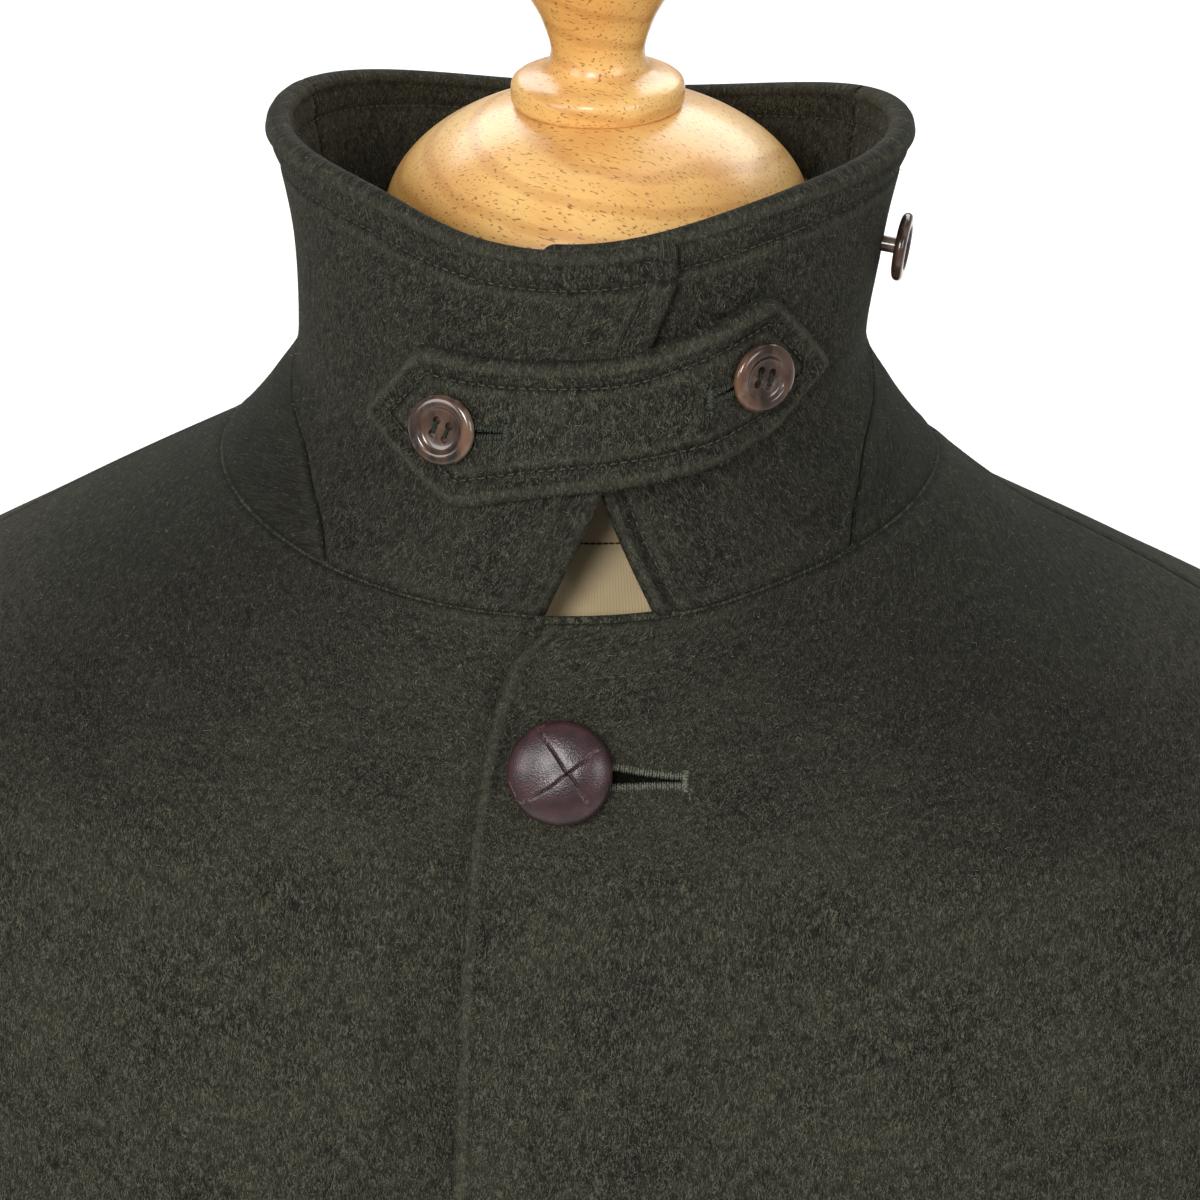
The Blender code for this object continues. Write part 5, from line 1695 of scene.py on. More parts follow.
@dataclass
class FootballButtons:
    """The woven leather buttons of the front, in a row down the coat."""

    count: int = 4
    pitch: float = 146.0
    top: float = -42.0
    line: float = 1.5         # mm to the wearer's left of the centre
    radius: float = 14.0
    dome: float = 5.8
    edge: float = 3.2         # from the shank's foot to the dome's widest line
    sit: float = 0.6
    sides: int = 176
    # grooves between the woven strips, in mm from the button's centre
    grooves: tuple[tuple[tuple[float, float], ...], ...] = (
        ((-5.6, 11.6), (-1.6, 6.2), (2.4, 0.4)),
        ((3.2, 0.1), (5.6, -3.4), (7.6, -6.9)),
        ((11.9, 8.4), (7.4, 4.4), (2.4, 0.4), (-1.6, -2.9), (-5.6, -5.8), (-9.3, -7.7), (-13.0, -6.6)),
        ((-13.4, -2.0), (-12.2, -4.3), (-10.9, -6.4)),
        ((-7.6, 12.4), (-5.4, 12.0), (-2.6, 13.9)),
    )
    # radius and height of the underside's rings, from the edge to the shank's foot
    underside: tuple[tuple[float, float], ...] = (
        (14.0, 3.0), (13.9, 2.4), (13.4, 1.8), (12.6, 1.3), (11.4, 0.9), (3.5, 0.9), (3.5, 0.05))
    turns: tuple[float, ...] = (0.0, 0.9, -0.5, 2.1)

    def relief(self, x: Array, y: Array) -> tuple[Array, Array]:
        """Depth of the grooves at places on the dome, and how near the places are to one."""
        place = np.stack([x, y], -1)
        depth, near = np.zeros(x.shape), np.zeros(x.shape)
        for k, line in enumerate(self.grooves):
            width = 0.26 if k < 3 else 0.18
            strength = (0.7, 0.55, 0.7, 0.3, 0.3)[k]
            away = np.full(x.shape, 1e9)
            side = np.zeros(x.shape)
            for a, b in zip(line, line[1:]):
                a, d = np.array(a), np.array(b) - np.array(a)
                share = np.clip(((place - a) @ d) / (d @ d), 0, 1)
                off = place - a - share[..., None] * d
                distance = np.linalg.norm(off, axis=-1)
                closer = distance < away
                side = np.where(closer, np.sign(d[0] * off[..., 1] - d[1] * off[..., 0]), side)
                away = np.where(closer, distance, away)
            depth += strength * bell(away, width) + 0.16 * side * bell(away, 1.5) * (k < 3)
            near = np.maximum(near, strength / 0.7 * bell(away, width * 1.2))
        return depth, near

    def mesh(self, name: str, turn: float) -> Mesh:
        """One button about Z, with its woven face and its shank."""
        radii = np.concatenate([np.linspace(0.3, 10, 38), np.linspace(10.25, self.radius - 0.02, 22)])
        angles = np.linspace(0, 2 * math.pi, self.sides, endpoint=False)
        rings, nearness = [], []
        for radius in radii:
            x, y = radius * np.cos(angles), radius * np.sin(angles)
            depth, near = self.relief(x * math.cos(turn) - y * math.sin(turn),
                                      x * math.sin(turn) + y * math.cos(turn))
            rise = self.dome * math.sqrt(max(0.0, 1 - (radius / self.radius) ** 2.15))
            fade = np.clip((self.radius - radius) / 1.0, 0.15, 1)
            rings.append(np.stack([x, y, self.edge + rise - depth * fade], -1))
            nearness.append(near)
        for radius, height in self.underside:
            level = np.full(len(angles), height)
            rings.append(np.stack([radius * np.cos(angles), radius * np.sin(angles), level], -1))
            nearness.append(np.zeros(len(angles)))
        points, near = np.stack(rings), np.concatenate(nearness)
        index = np.arange(len(near)).reshape(points.shape[:2])
        faces = quads_of(index, True).tolist() + [index[0].tolist(), index[-1, ::-1].tolist()]
        mesh = new_mesh(name, points * MM, faces)
        colors = np.ones((len(near), 4))
        # red: painted shade in the grooves; green: wear by the rim's grooves
        colors[:, 0] = np.clip(near * 1.3 - 0.25, 0, 1)
        at_rim = np.hypot(points[..., 0], points[..., 1]).ravel() > 8.5
        colors[:, 1] = np.clip(near, 0, 0.6) * (near < 0.75) * at_rim
        colors[:, 2] = 0
        paint(mesh, "wear", colors)
        return mesh

    def seat(self, k: int) -> Seat:
        """Where the k-th button sits on the left front."""
        angle = np.array(0.0)
        for _ in range(4):
            place = BODY.place_at(angle, self.top - k * self.pitch)
            angle = BODY.angle_at_x(self.line, place)
        point = BODY.points(angle, place) + outward(angle) * lap_lift(self.line)
        return seat_at(point, BODY.normals(angle, place))

    def build(self, leather: Material) -> None:
        """Builds the row; each button is turned a little differently."""
        for k in range(self.count):
            name = f"football_button_{k + 1}"
            mesh = self.mesh(name, self.turns[k])
            move_to_seat(mesh, self.seat(k), self.sit)
            dress(make_object(f"coat_{name}", mesh, leather), "button_leather", name)


class HornRow(NamedTuple):
    """Where a horn button is sewn on the collar or the tab."""

    name: str
    degrees: float
    height: float
    shank: float
    sit: float
    on_tab: bool
    turn: float


@dataclass
class HornButtons:
    """Dished horn buttons with four holes, sewn with dark thread."""

    rows: tuple[HornRow, ...] = (
        HornRow("horn_button_right", -16.4, 44.4, 0.9, 0.4, True, -0.28),
        HornRow("horn_button_left", 35.5, 54.9, 0.9, 0.8, True, -0.35),
        HornRow("horn_button_side", 84, 69.5, 4.2, 0.4, False, 0.2),
    )
    profile: tuple[ProfileRow, ...] = table(ProfileRow, (
        (0, 2.15), (2.4, 2.12), (4.6, 2.2), (5.7, 2.5), (6.15, 3.0), (6.6, 3.22), (7.4, 3.26),
        (8.3, 3.16), (9.0, 2.8), (9.42, 2.2), (9.5, 1.5), (9.2, 0.8), (8.5, 0.25), (7.6, 0.02),
    ))
    hole_radius: float = 1.12
    hole_pitch: float = 3.8
    sides: int = 72

    def build(self, horn: Material, thread: Material) -> None:
        """Builds the buttons and the threads through their holes."""
        for row in self.rows:
            angle = np.array(math.radians(row.degrees))
            place = COLLAR.place_at(angle, row.height)
            point = COLLAR.points(angle, place)
            if row.on_tab:
                point = point + outward(angle) * tab_lift(point[0])
            seat = seat_at(point, COLLAR.normals(angle, place))
            raised = [ProfileRow(r.radius, r.height + row.shank) for r in finer(self.profile, 0.42)]
            raised += [ProfileRow(2.2, row.shank), ProfileRow(2.2, 0), ProfileRow(0, 0)]
            item = make_object(f"coat_{row.name}", turned_mesh(row.name, raised, self.sides), horn)
            top = (row.shank + 3.2) * MM
            for x, y in self.holes(row.turn):
                bm = bmesh.new()
                bmesh.ops.create_cone(bm, cap_ends=True, segments=20, radius1=self.hole_radius * MM,
                                      radius2=self.hole_radius * MM, depth=5.0 * MM)
                bmesh.ops.translate(bm, verts=bm.verts, vec=(x * MM, y * MM, top))
                cut_with(item, bm)
            item.data.set_sharp_from_angle(angle=math.radians(38))
            move_to_seat(item.data, seat, row.sit)
            dress(item, "horn", row.name)
            self.sew_on(row, seat, thread)

    def holes(self, turn: float) -> list[tuple[float, float]]:
        """Centres of the four holes in the button's plane, in mm."""
        reach = self.hole_pitch / math.sqrt(2)
        corners = (0.785, 2.356, 3.927, 5.498)
        return [(reach * math.cos(turn + t), reach * math.sin(turn + t)) for t in corners]

    def sew_on(self, row: HornRow, seat: Seat, thread: Material) -> None:
        """Lays the strands between each pair of holes, and the stem under the button."""
        holes = self.holes(row.turn)
        starts, ends = [], []
        floor = row.shank + 2.15 + row.sit
        rng = np.random.default_rng(SEED)
        for a, b in ((0, 3), (1, 2)):
            for k in range(4):
                shift = rng.uniform(-0.34, 0.34, 2)
                drop = floor - 0.55 + 0.1 * (k % 2)
                starts.append((holes[a][0] + shift[0], holes[a][1] + shift[1] - 0.1, drop))
                ends.append((holes[b][0] + shift[1], holes[b][1] - shift[0] + 0.1, drop))
        for k in range(9):
            t = k * 0.7
            starts.append((0.9 * math.cos(t), 0.9 * math.sin(t), -0.2))
            ends.append((1.6 * math.cos(t + 0.5), 1.6 * math.sin(t + 0.5), row.shank + row.sit + 0.3))
        def placed(points: list) -> Array:
            """Local points as mm places."""
            p = np.array(points)
            return seat.point + p[:, :1] * seat.across + p[:, 1:2] * seat.up + p[:, 2:] * seat.out
        normals = np.repeat(seat.out[None, :], len(starts), axis=0)
        mesh = threads_mesh(f"{row.name}_thread", placed(starts), placed(ends), normals, 0.36, 1.0, 8, 7)
        dress(make_object(f"coat_{row.name}_thread", mesh, thread), "horn")


@dataclass
class Buttonhole:
    """A worked buttonhole: a dark slit of painted shade between two lips of close stitches and an end bar."""

    name: str
    length: float             # from the button's side to the end bar, in mm
    gap: float                # the slit's width at the button
    lip: float                # length of a lip's stitches across the lip
    place: Callable[[Array, Array], tuple[Array, Array]]

    def build(self, thread: Material, shade: Material) -> None:
        """Builds the stitches and the slit; place maps (along, across) in mm to the cloth."""
        rng = np.random.default_rng(SEED + len(self.name))
        pitch, radius = 0.64, 0.35
        along = np.arange(0, self.length, pitch)
        starts, ends, normals = [], [], []
        for sense in (1, -1):
            half = self.half_gap(along)
            jitter = rng.uniform(-0.13, 0.13, (3, len(along)))
            inner, normal = self.place(along + jitter[0], sense * (half - 0.25))
            outer, _ = self.place(along + 0.22 + jitter[1], sense * (half + self.lip + jitter[2]))
            starts.append(inner)
            ends.append(outer)
            normals.append(normal)
        bar = np.linspace(-1, 1, 13)
        reach = float(self.half_gap(np.array([self.length]))[0]) + self.lip
        a, normal = self.place(np.full(13, self.length - 0.5), bar * reach)
        b, _ = self.place(np.full(13, self.length + 1.7) + rng.uniform(-0.15, 0.15, 13), bar * reach * 1.12)
        starts.append(a)
        ends.append(b)
        normals.append(normal)
        normal = np.concatenate(normals)
        sunk = 0.12 * normal
        mesh = threads_mesh(self.name, np.concatenate(starts) - sunk, np.concatenate(ends) - sunk,
                            normal, radius, 0.8, 5, 3)
        dress(make_object(self.name, mesh, thread), "loden")
        self.slit(shade)

    def half_gap(self, along: Array) -> Array:
        """Half of the slit's width along it; it closes towards the end bar."""
        return self.gap / 2 * (1 - 0.88 * smooth_step(along / self.length))

    def slit(self, shade: Material) -> None:
        """A thin dark lens of painted shade that reads as the cut between the lips."""
        along = np.linspace(-0.4, self.length - 0.2, 26)
        across = np.linspace(-1, 1, 7)
        u = np.repeat(along[:, None], len(across), axis=1)
        v = across[None, :] * (self.half_gap(along)[:, None] + 0.2)
        point, normal = self.place(u, v)
        outer = point + normal * (0.16 - 0.1 * across[None, :, None] ** 2)
        inner = point - normal * 0.3
        grain = np.stack([v, u], -1)
        dress(make_object(f"{self.name}_slit", wall_mesh(self.name, outer, inner, grain), shade), "loden")


# ------------------------------------------------------------------ the dress form


@dataclass(frozen=True)
class BeechFinish:
    """Varnished steamed beech: honey ground, growth rings and short dark rays."""

    light: tuple = srgb(250, 204, 128)
    deep: tuple = srgb(230, 170, 92)
    ring: tuple = srgb(190, 122, 56)
    ray: tuple = srgb(112, 64, 29)

    def make(self) -> Material:
        """Builds the wood's material; the boards lie level, so the rings run across."""
        g = Look("varnished_beech")
        turned = g.node("ShaderNodeMapping", {"Vector": g.object_place(), "Location": (0.31, 0.08, -0.2),
                                              "Rotation": (0.12, -0.2, 0.3)}).outputs["Vector"]
        sway = g.node("ShaderNodeTexNoise", {"Vector": turned, "Scale": 9.0, "Detail": 2.0})
        bend = g.node("ShaderNodeVectorMath", {0: sway.outputs["Color"], "Scale": 0.035}, operation="SCALE")
        bent = g.node("ShaderNodeVectorMath", {0: turned, 1: bend.outputs[0]}, operation="ADD").outputs[0]
        wave = g.node("ShaderNodeTexWave", {"Vector": bent, "Scale": 42.0, "Distortion": 1.2, "Detail": 3.0,
                                            "Detail Scale": 2.0}, wave_type="RINGS", rings_direction="X")
        fibre = g.noise(g.stretch(bent, (0.06, 1, 1)), 900, 3.0, 0.6)
        color = g.mix(g.ramp(g.noise(bent, 16, 2.0), 0.35, 0.65), self.light, self.deep)
        color = g.mix(g.math("MULTIPLY", g.ramp(wave.outputs["Fac"], 0.62, 0.98), 0.34), color, self.ring)
        color = g.mix(g.math("MULTIPLY", g.ramp(fibre, 0.5, 0.75), 0.28), color, self.ring)
        dashes = g.noise(g.stretch(turned, (0.3, 1, 1)), 1850, 1.0, 0.3)
        rays = g.math("MULTIPLY", g.ramp(dashes, 0.635, 0.695), 0.66)
        color = g.mix(rays, color, self.ray)
        return g.finish(color, fibre, 0.1, 0.3, Roughness=g.between(fibre, 0.26, 0.4), Coat_Weight=0.3,
                        Coat_Roughness=0.16)


@dataclass(frozen=True)
class CoverFinish:
    """Matte ribbed jersey that covers the form."""

    light: tuple = srgb(209, 188, 149)
    dark: tuple = srgb(190, 167, 126)

    def make(self) -> Material:
        """Builds the cover's material with fine upright ribs."""
        g = Look("jersey_cover")
        grain = g.grain()
        wave = {"Vector": grain, "Scale": 470.0, "Distortion": 0.6, "Detail": 1.0}
        ribs = g.node("ShaderNodeTexWave", wave, wave_type="BANDS", bands_direction="X").outputs["Fac"]
        loops = g.noise(g.stretch(grain, (1, 0.6, 1)), 1900, 2.0)
        weave = g.math("ADD", g.math("MULTIPLY", ribs, 0.5), g.math("MULTIPLY", loops, 0.5))
        tone = g.mix(g.ramp(g.noise(grain, 25, 2.0), 0.3, 0.7), self.dark, self.light)
        color = g.mix(g.math("MULTIPLY", g.ramp(weave, 0.35, 0.6), 0.5), tone, self.light)
        return g.finish(color, weave, 0.35, 0.4, Roughness=0.88, Sheen_Weight=0.12)


@dataclass
class DressForm:
    """The limbless form: covered torso, beech cap and knob, pole and round base."""

    cap_radius: float = 59.0
    cap_rise: float = 35.0
    cap_level: float = 72.0
    base_height: float = 45.0
    pole_radius: float = 17.0
    seam_gap: float = 0.3
    sides: int = 112
    # levels of the torso's rings in mm: from, to and how many, closer at its seams
    levels: tuple[tuple[float, float, int], ...] = (
        (70, 8, 30), (5.5, -2, 14), (-4, -110, 30), (-118, -420, 30), (-426, -434, 7), (-444, -664, 22))
    knob: tuple[ProfileRow, ...] = table(ProfileRow, (
        (0, 71), (12, 68.5), (20.5, 59.5), (23.5, 47.5), (20.8, 34.5), (15.4, 24), (12.9, 15),
        (14.2, 10.4), (17.6, 8.6), (21.6, 7.6), (23.6, 6.0), (23.9, 4.0), (23.7, 1.0),
    ))
    base: tuple[ProfileRow, ...] = table(ProfileRow, (
        (0, 45), (24, 45), (29.4, 44.2), (31.6, 42.4), (33, 39.6), (38, 35.4), (52, 31), (100, 27.6),
        (150, 24), (180, 20), (188, 16.6), (190, 12), (189.8, 5), (189, 1), (188, 0), (0, 0),
    ))

    def cap_height(self, radius: float) -> float:
        """Height of the cap above the neck level, in mm, at a radius."""
        return self.cap_level + self.cap_rise * math.sqrt(max(0.0, 1 - (radius / self.cap_radius) ** 2))

    def turned(self, name: str, profile: Sequence[ProfileRow], level: float, wood: Material) -> None:
        """Builds a turned piece whose heights count from a level in mm above the floor."""
        mesh = turned_mesh(name, profile, self.sides)
        for vertex in mesh.vertices:
            vertex.co.z += level * MM
        dress(make_object(f"dress_{name}", mesh, wood), "beech", name)

    def seams(self, angle: Array, height: Array) -> Array:
        """Depth of the cover's seams: round the neck, down the middle and over the bust."""
        degrees = np.degrees(angle)
        depth = 0.5 * bell(height - 2.0, 1.1) + 0.35 * bell(height + 430, 1.4)
        for line in (0, 58, 122, 180, 238, 302):
            away = ((degrees - line + 180) % 360 - 180) * 2.6
            depth = depth + 0.4 * bell(away, 1.5) * smooth_step((-14 - height) / 12)
        return depth * smooth_step((69 - height) / 3)

    def torso(self, cover: Material) -> None:
        """Builds the covered torso, neck to foot edge, closed at both ends."""
        heights = np.concatenate([np.linspace(*stretch) for stretch in self.levels])
        angles = np.linspace(0, 2 * math.pi, self.sides + 1)
        place = FORM.place_at(np.full(len(heights), math.pi / 2), heights)
        grid_a, grid_p = np.meshgrid(angles, place)
        points = FORM.points(grid_a, grid_p)
        normal = FORM.normals(grid_a, grid_p)
        points = points - normal * self.seams(grid_a, points[..., 2])[..., None]
        index = np.arange(grid_a.size).reshape(grid_a.shape)
        faces = quads_of(index).tolist() + [index[0, :-1].tolist(), index[-1, :-1][::-1].tolist()]
        grain = np.stack([grid_a * 62, grid_p], -1)
        mesh = new_mesh("form_torso", to_world(points), faces, grain)
        close_seams(mesh, 1e-6)
        mesh.set_sharp_from_angle(angle=math.radians(50))
        dress(make_object("dress_form_torso", mesh, cover), "form_cover", "form_torso")

    def build(self, wood: Material, cover: Material) -> None:
        """Builds the whole form."""
        self.torso(cover)
        neck = NECK_LEVEL / MM
        turns = np.linspace(math.pi / 2, 0, 40)[1:]
        cap = [ProfileRow(0, self.cap_height(0))]
        cap += [ProfileRow(r, self.cap_height(r)) for r in self.cap_radius * np.cos(turns)]
        foot = 70 + self.seam_gap
        cap += [ProfileRow(58.6, foot + 0.7), ProfileRow(57.5, foot), ProfileRow(0, foot)]
        self.turned("form_cap", cap, neck, wood)
        edge = 23.0
        seat = self.cap_height(edge) + REST_GAP
        hollow = [ProfileRow(r, self.cap_height(r) - self.cap_height(edge)) for r in np.linspace(edge, 0, 7)]
        self.turned("form_finial", finer(self.knob, 1.1) + hollow, neck + seat, wood)
        low, high = self.base_height + self.seam_gap, neck - 664 - self.seam_gap
        r = self.pole_radius
        pole = [ProfileRow(0, high), ProfileRow(r - 0.8, high), ProfileRow(r, high - 0.8)]
        pole += [ProfileRow(r, h) for h in np.linspace(high - 2, low + 2, 12)]
        pole += [ProfileRow(r, low + 0.8), ProfileRow(r - 0.8, low), ProfileRow(0, low)]
        self.turned("form_pole", pole, 0.0, wood)
        self.turned("form_base", self.base, 0.0, wood)


# ------------------------------------------------------------------ sewing and nap


@dataclass
class Sewing:
    """Topstitching, seam allowances and worked buttonholes of the coat."""

    collar: Collar
    tab: ThroatTab
    buttons: FootballButtons

    def front_surface(self, x: Array, height: Array, side: Side) -> tuple[Array, Array]:
        """Points and normals on a front at an x and a height, in mm."""
        x, height = np.broadcast_arrays(np.asarray(x, float), np.asarray(height, float))
        angle = np.zeros(x.shape)
        for _ in range(5):
            place = BODY.place_at(angle, height)
            angle = BODY.angle_at_x(x, place)
        base, normal = BODY.points(angle, place), BODY.normals(angle, place)
        lift = lap_lift(base[..., 0]) if side is Side.LEFT else unlifted(base)
        rise = body_relief(angle, base[..., 2])
        return base + outward(angle) * lift[..., None] + normal * rise[..., None], normal

    def topstitching(self, group: Tree, thread: Material) -> None:
        """Stitches along the rim, round the tab and under the neck seam."""
        lines = []
        below = RIM_EDGE.stitch
        rim = COLLAR.places[-1:]
        for side, inside in ((Side.RIGHT, False), (Side.LEFT, False), (Side.RIGHT, True), (Side.LEFT, True)):
            free = math.degrees(float(self.collar.free_edge(np.array([COLLAR.places[-1] - below]), side)[0]))
            seam = math.degrees(float(self.collar.seam(rim, side, 0)[0]))
            in_from_end = side.value * END_EDGES[side].stitch / MM_PER_DEGREE
            start = free + in_from_end
            degrees = np.linspace(start, seam - side.value * 0.8, 160)
            point, normal = self.collar.surface(degrees, np.full(160, below), side, inside)
            lines.append(point + normal * 0.1)
            stretches = [(below, 58, 40)] * (side is Side.RIGHT) + [(76, 98, 18)] * (side is Side.LEFT)
            stretches = [] if inside else stretches
            for first, last, count in stretches:
                downs = np.linspace(first, last, count)
                edge = np.degrees(self.collar.free_edge(COLLAR.places[-1] - downs, side))
                point, normal = self.collar.surface(edge + in_from_end, downs, side)
                lines.append(point + normal * 0.1)
        first, last = (math.degrees(float(self.collar.seam(rim, side, 0)[0])) for side in Side)
        for inside in (False, True):
            degrees = np.linspace(first + 0.8, 360 + last - 0.8, 260)
            point, normal = self.collar.surface(degrees, np.full(260, below), None, inside)
            lines.append(point + normal * 0.1)
        sew("rim_topstitching", lines, group, thread)
        sew("tab_topstitching", [self.tab_line()], group, thread)
        point, normal = self.front_surface(np.linspace(5.5, 29, 40), np.linspace(-19.2, -17.4, 40), Side.LEFT)
        sew("neckline_topstitching", [point + normal * 0.25], group, thread)
        turn = np.linspace(0, 2 * math.pi, 720)
        place = FORM.place_at(turn, np.full(720, 2.0))
        point, normal = FORM.points(turn, place), FORM.normals(turn, place)
        dark = ThreadFinish("cover_thread", srgb(58, 44, 30), srgb(92, 72, 50)).make()
        sew("form_neck_stitching", [point - normal * 0.3], group, dark, 1.7, 1.75, 0.3)

    def tab_line(self) -> Array:
        """The closed line of stitches inside the tab's edge."""
        top, low = self.tab.outline()
        loop = np.concatenate([top, low[::-1]])
        centre_line = np.concatenate([(top + low) / 2, ((top + low) / 2)[::-1]])
        ahead = np.roll(loop, -3, axis=0) - np.roll(loop, 3, axis=0)
        inward = np.stack([ahead[:, 1], -ahead[:, 0]], -1)
        inward /= np.maximum(np.linalg.norm(inward, axis=1, keepdims=True), 1e-9)
        sense = np.sign(np.sum(inward * (centre_line - loop), axis=1).mean())
        moved = loop + inward * sense * TAB_EDGE.stitch
        kept = moved[self.tab.from_edge(moved) > TAB_EDGE.stitch - 0.35]
        kept = np.concatenate([kept, kept[:1]])
        point, normal = self.tab.on_collar(kept)
        return point + normal * 0.05

    def allowances(self, cloth: Material) -> None:
        """Folded seam allowances under the neck seam, which close it from inside."""
        for name, side, start, end in (("left", Side.LEFT, -1.0, 58.0), ("right", Side.RIGHT, -58.0, -1.5),
                                       ("back", None, 40.0, 320.0)):
            degrees = np.linspace(start, end, 140)
            angle = np.radians(degrees)
            base = BODY.points(angle, np.zeros(140))
            lift = lap_lift(base[:, 0]) if side is Side.LEFT else np.zeros(140)
            inward = BODY.normals(angle, np.full(140, 0.5)) + COLLAR.normals(angle, np.full(140, 0.5))
            inward /= np.linalg.norm(inward, axis=1, keepdims=True)
            middle = base + outward(angle) * lift[:, None] - inward * 2.3
            turn = np.linspace(0, 2 * math.pi, 10, endpoint=False)
            level = np.stack([np.zeros(140), np.zeros(140), np.ones(140)], -1)
            ring = (middle[:, None] + 1.5 * np.cos(turn)[None, :, None] * outward(angle)[:, None]
                    + 1.9 * np.sin(turn)[None, :, None] * level[:, None])
            index = np.arange(ring.size // 3).reshape(ring.shape[:2])
            grain = np.stack(np.broadcast_arrays(angle[:, None] * 90, turn[None, :] * 1.6), -1)
            mesh = new_mesh("allowance", to_world(ring), tube_faces(index), grain)
            dress(make_object(f"neck_seam_allowance_{name}", mesh, cloth), "loden")

    def buttonholes(self, thread: Material, tab_thread: Material,
                    shade: Material) -> None:
        """Works the buttonholes of the front and of the tab."""
        for k in range(self.buttons.count):
            height = self.buttons.top - k * self.buttons.pitch

            def on_front(along: Array, across: Array, h: float = height) -> tuple[Array, Array]:
                """The cloth to the wearer's left of a front button."""
                x = self.buttons.line + 3 + along
                return self.front_surface(x, h - 0.4 + across - 0.05 * along, Side.LEFT)
            Buttonhole(f"front_buttonhole_{k + 1}", 28.3, 4.4, 2.0, on_front).build(thread, shade)
        for name, degrees, height, length, sense, slope in (("right", -16.4, 44.4, 14.6, 1, 0.06),
                                                            ("left", 35.5, 54.9, 14.4, -1, 0.16)):
            def on_tab(along: Array, across: Array, d: float = degrees, h: float = height, s: int = sense,
                       m: float = slope) -> tuple[Array, Array]:
                """The tab beside one of its buttons, towards its middle."""
                x = math.radians(d) * self.tab.scale + s * along
                return self.tab.on_collar(np.stack([x, h + s * m * along + across], -1))
            Buttonhole(f"tab_buttonhole_{name}", length, 1.9, 2.0, on_tab).build(tab_thread, shade)


@dataclass
class Nap:
    """Single wool hairs that stand out of the cloth, joined into one mesh a sheet."""

    length: tuple[float, float] = (0.8, 2.4)   # mm
    stray: tuple[float, float] = (2.6, 5.0)    # mm, of the few long ones
    width: float = 0.085
    upright: float = 0.1      # share of the hairs that stand well out of the cloth
    down: float = 0.55        # how strongly the hairs lie down the cloth

    def grow(self, piece: Piece, count: int, weight: Callable[[Array, Array], Array],
             hair: Material, seed: int) -> Piece:
        """Grows hairs on a sheet.

        Args:
            piece: the sheet.
            count: how many hairs.
            weight: how densely they grow, from centres in mm and normals of faces.
            hair: the hairs' material.
            seed: the seed of this sheet's hairs.

        Returns:
            The dressed mesh of hairs.
        """
        mesh = piece.data
        mesh.calc_loop_triangles()
        corner = np.empty(len(mesh.loop_triangles) * 3, np.int64)
        mesh.loop_triangles.foreach_get("vertices", corner)
        corner = corner.reshape(-1, 3)
        points = np.empty(len(mesh.vertices) * 3)
        mesh.vertices.foreach_get("co", points)
        points = points.reshape(-1, 3) / MM
        points[:, 2] -= NECK_LEVEL / MM
        a, b, c = (points[corner[:, k]] for k in range(3))
        normal = np.cross(b - a, c - a)
        area = np.linalg.norm(normal, axis=1)
        normal /= np.maximum(area, 1e-9)[:, None]
        share = area * weight((a + b + c) / 3, normal)
        rng = np.random.default_rng(seed)
        pick = np.searchsorted(share.cumsum(), rng.uniform(0, share.sum(), count))
        pick = np.minimum(pick, len(share) - 1)
        u, v = rng.uniform(0, 1, (2, count))
        flip = u + v > 1
        u, v = np.where(flip, 1 - u, u), np.where(flip, 1 - v, v)
        root = a[pick] + u[:, None] * (b - a)[pick] + v[:, None] * (c - a)[pick]
        n = normal[pick]
        lie = rng.normal(0, 1, (count, 3))
        lie[:, 2] -= self.down
        t = self.flatten(lie, n)
        curl = self.flatten(t + rng.normal(0, 1.1, (count, 3)), n)
        long = np.where(rng.uniform(0, 1, count) < 0.04, rng.uniform(*self.stray, count),
                        rng.uniform(*self.length, count))[:, None]
        rise = rng.uniform(0.03, 0.3, count)
        rise = np.where(rng.uniform(0, 1, count) < self.upright, rng.uniform(0.5, 1.2, count), rise)[:, None]
        middle = root + long * 0.5 * (t * np.cos(rise) + n * np.sin(rise)) + n * 0.06
        tip = middle + long * 0.5 * (curl * np.cos(0.3 * rise) + n * np.sin(0.3 * rise - 0.06))
        side = np.cross(t, n) * (self.width / 2) * rng.uniform(0.6, 1.3, count)[:, None]
        foot, waist = root - n * 0.1, side * 0.8
        verts = np.stack([foot - side, foot + side, middle + waist, middle - waist, tip], 1)
        start = np.arange(count)[:, None] * 5
        quads = (start + np.array([[0, 1, 2, 3]])).tolist()
        tips = (start + np.array([[3, 2, 4]])).tolist()
        hairs = bpy.data.meshes.new(f"{piece.name}_nap")
        hairs.from_pydata(to_world(verts).reshape(-1, 3).tolist(), [], quads + tips)
        return dress(make_object(f"{piece.name}_nap", hairs, hair), "loden")

    @staticmethod
    def flatten(vector: Array, normal: Array) -> Array:
        """The vector's unit direction in the plane across the normal."""
        flat = vector - np.sum(vector * normal, axis=1, keepdims=True) * normal
        return flat / np.maximum(np.linalg.norm(flat, axis=1, keepdims=True), 1e-9)


def outside(centre: Array, normal: Array) -> Array:
    """1 on faces that look away from the body's axis or up, and 0 on the inner faces."""
    level = centre[:, 0] * normal[:, 0] + centre[:, 1] * normal[:, 1]
    return ((level > 0) | (normal[:, 2] > 0.5)).astype(float)


SLEEVE_AXIS = (282.0, -8.0)   # x and y of a sleeve's middle, in mm
NAP_TOP, NAP_FOOT = -190.0, -420.0   # heights where the close-up's dense nap starts to thin and ends


def fade_down(height: Array) -> Array:
    """1 by the collar and 0 below the close-up."""
    return smooth_step((height - NAP_FOOT) / (NAP_TOP - NAP_FOOT))


def near_collar(centre: Array, normal: Array) -> Array:
    """Dense hairs by the collar that thin out towards the hem."""
    return outside(centre, normal) * (0.12 + 0.88 * fade_down(centre[:, 2]))


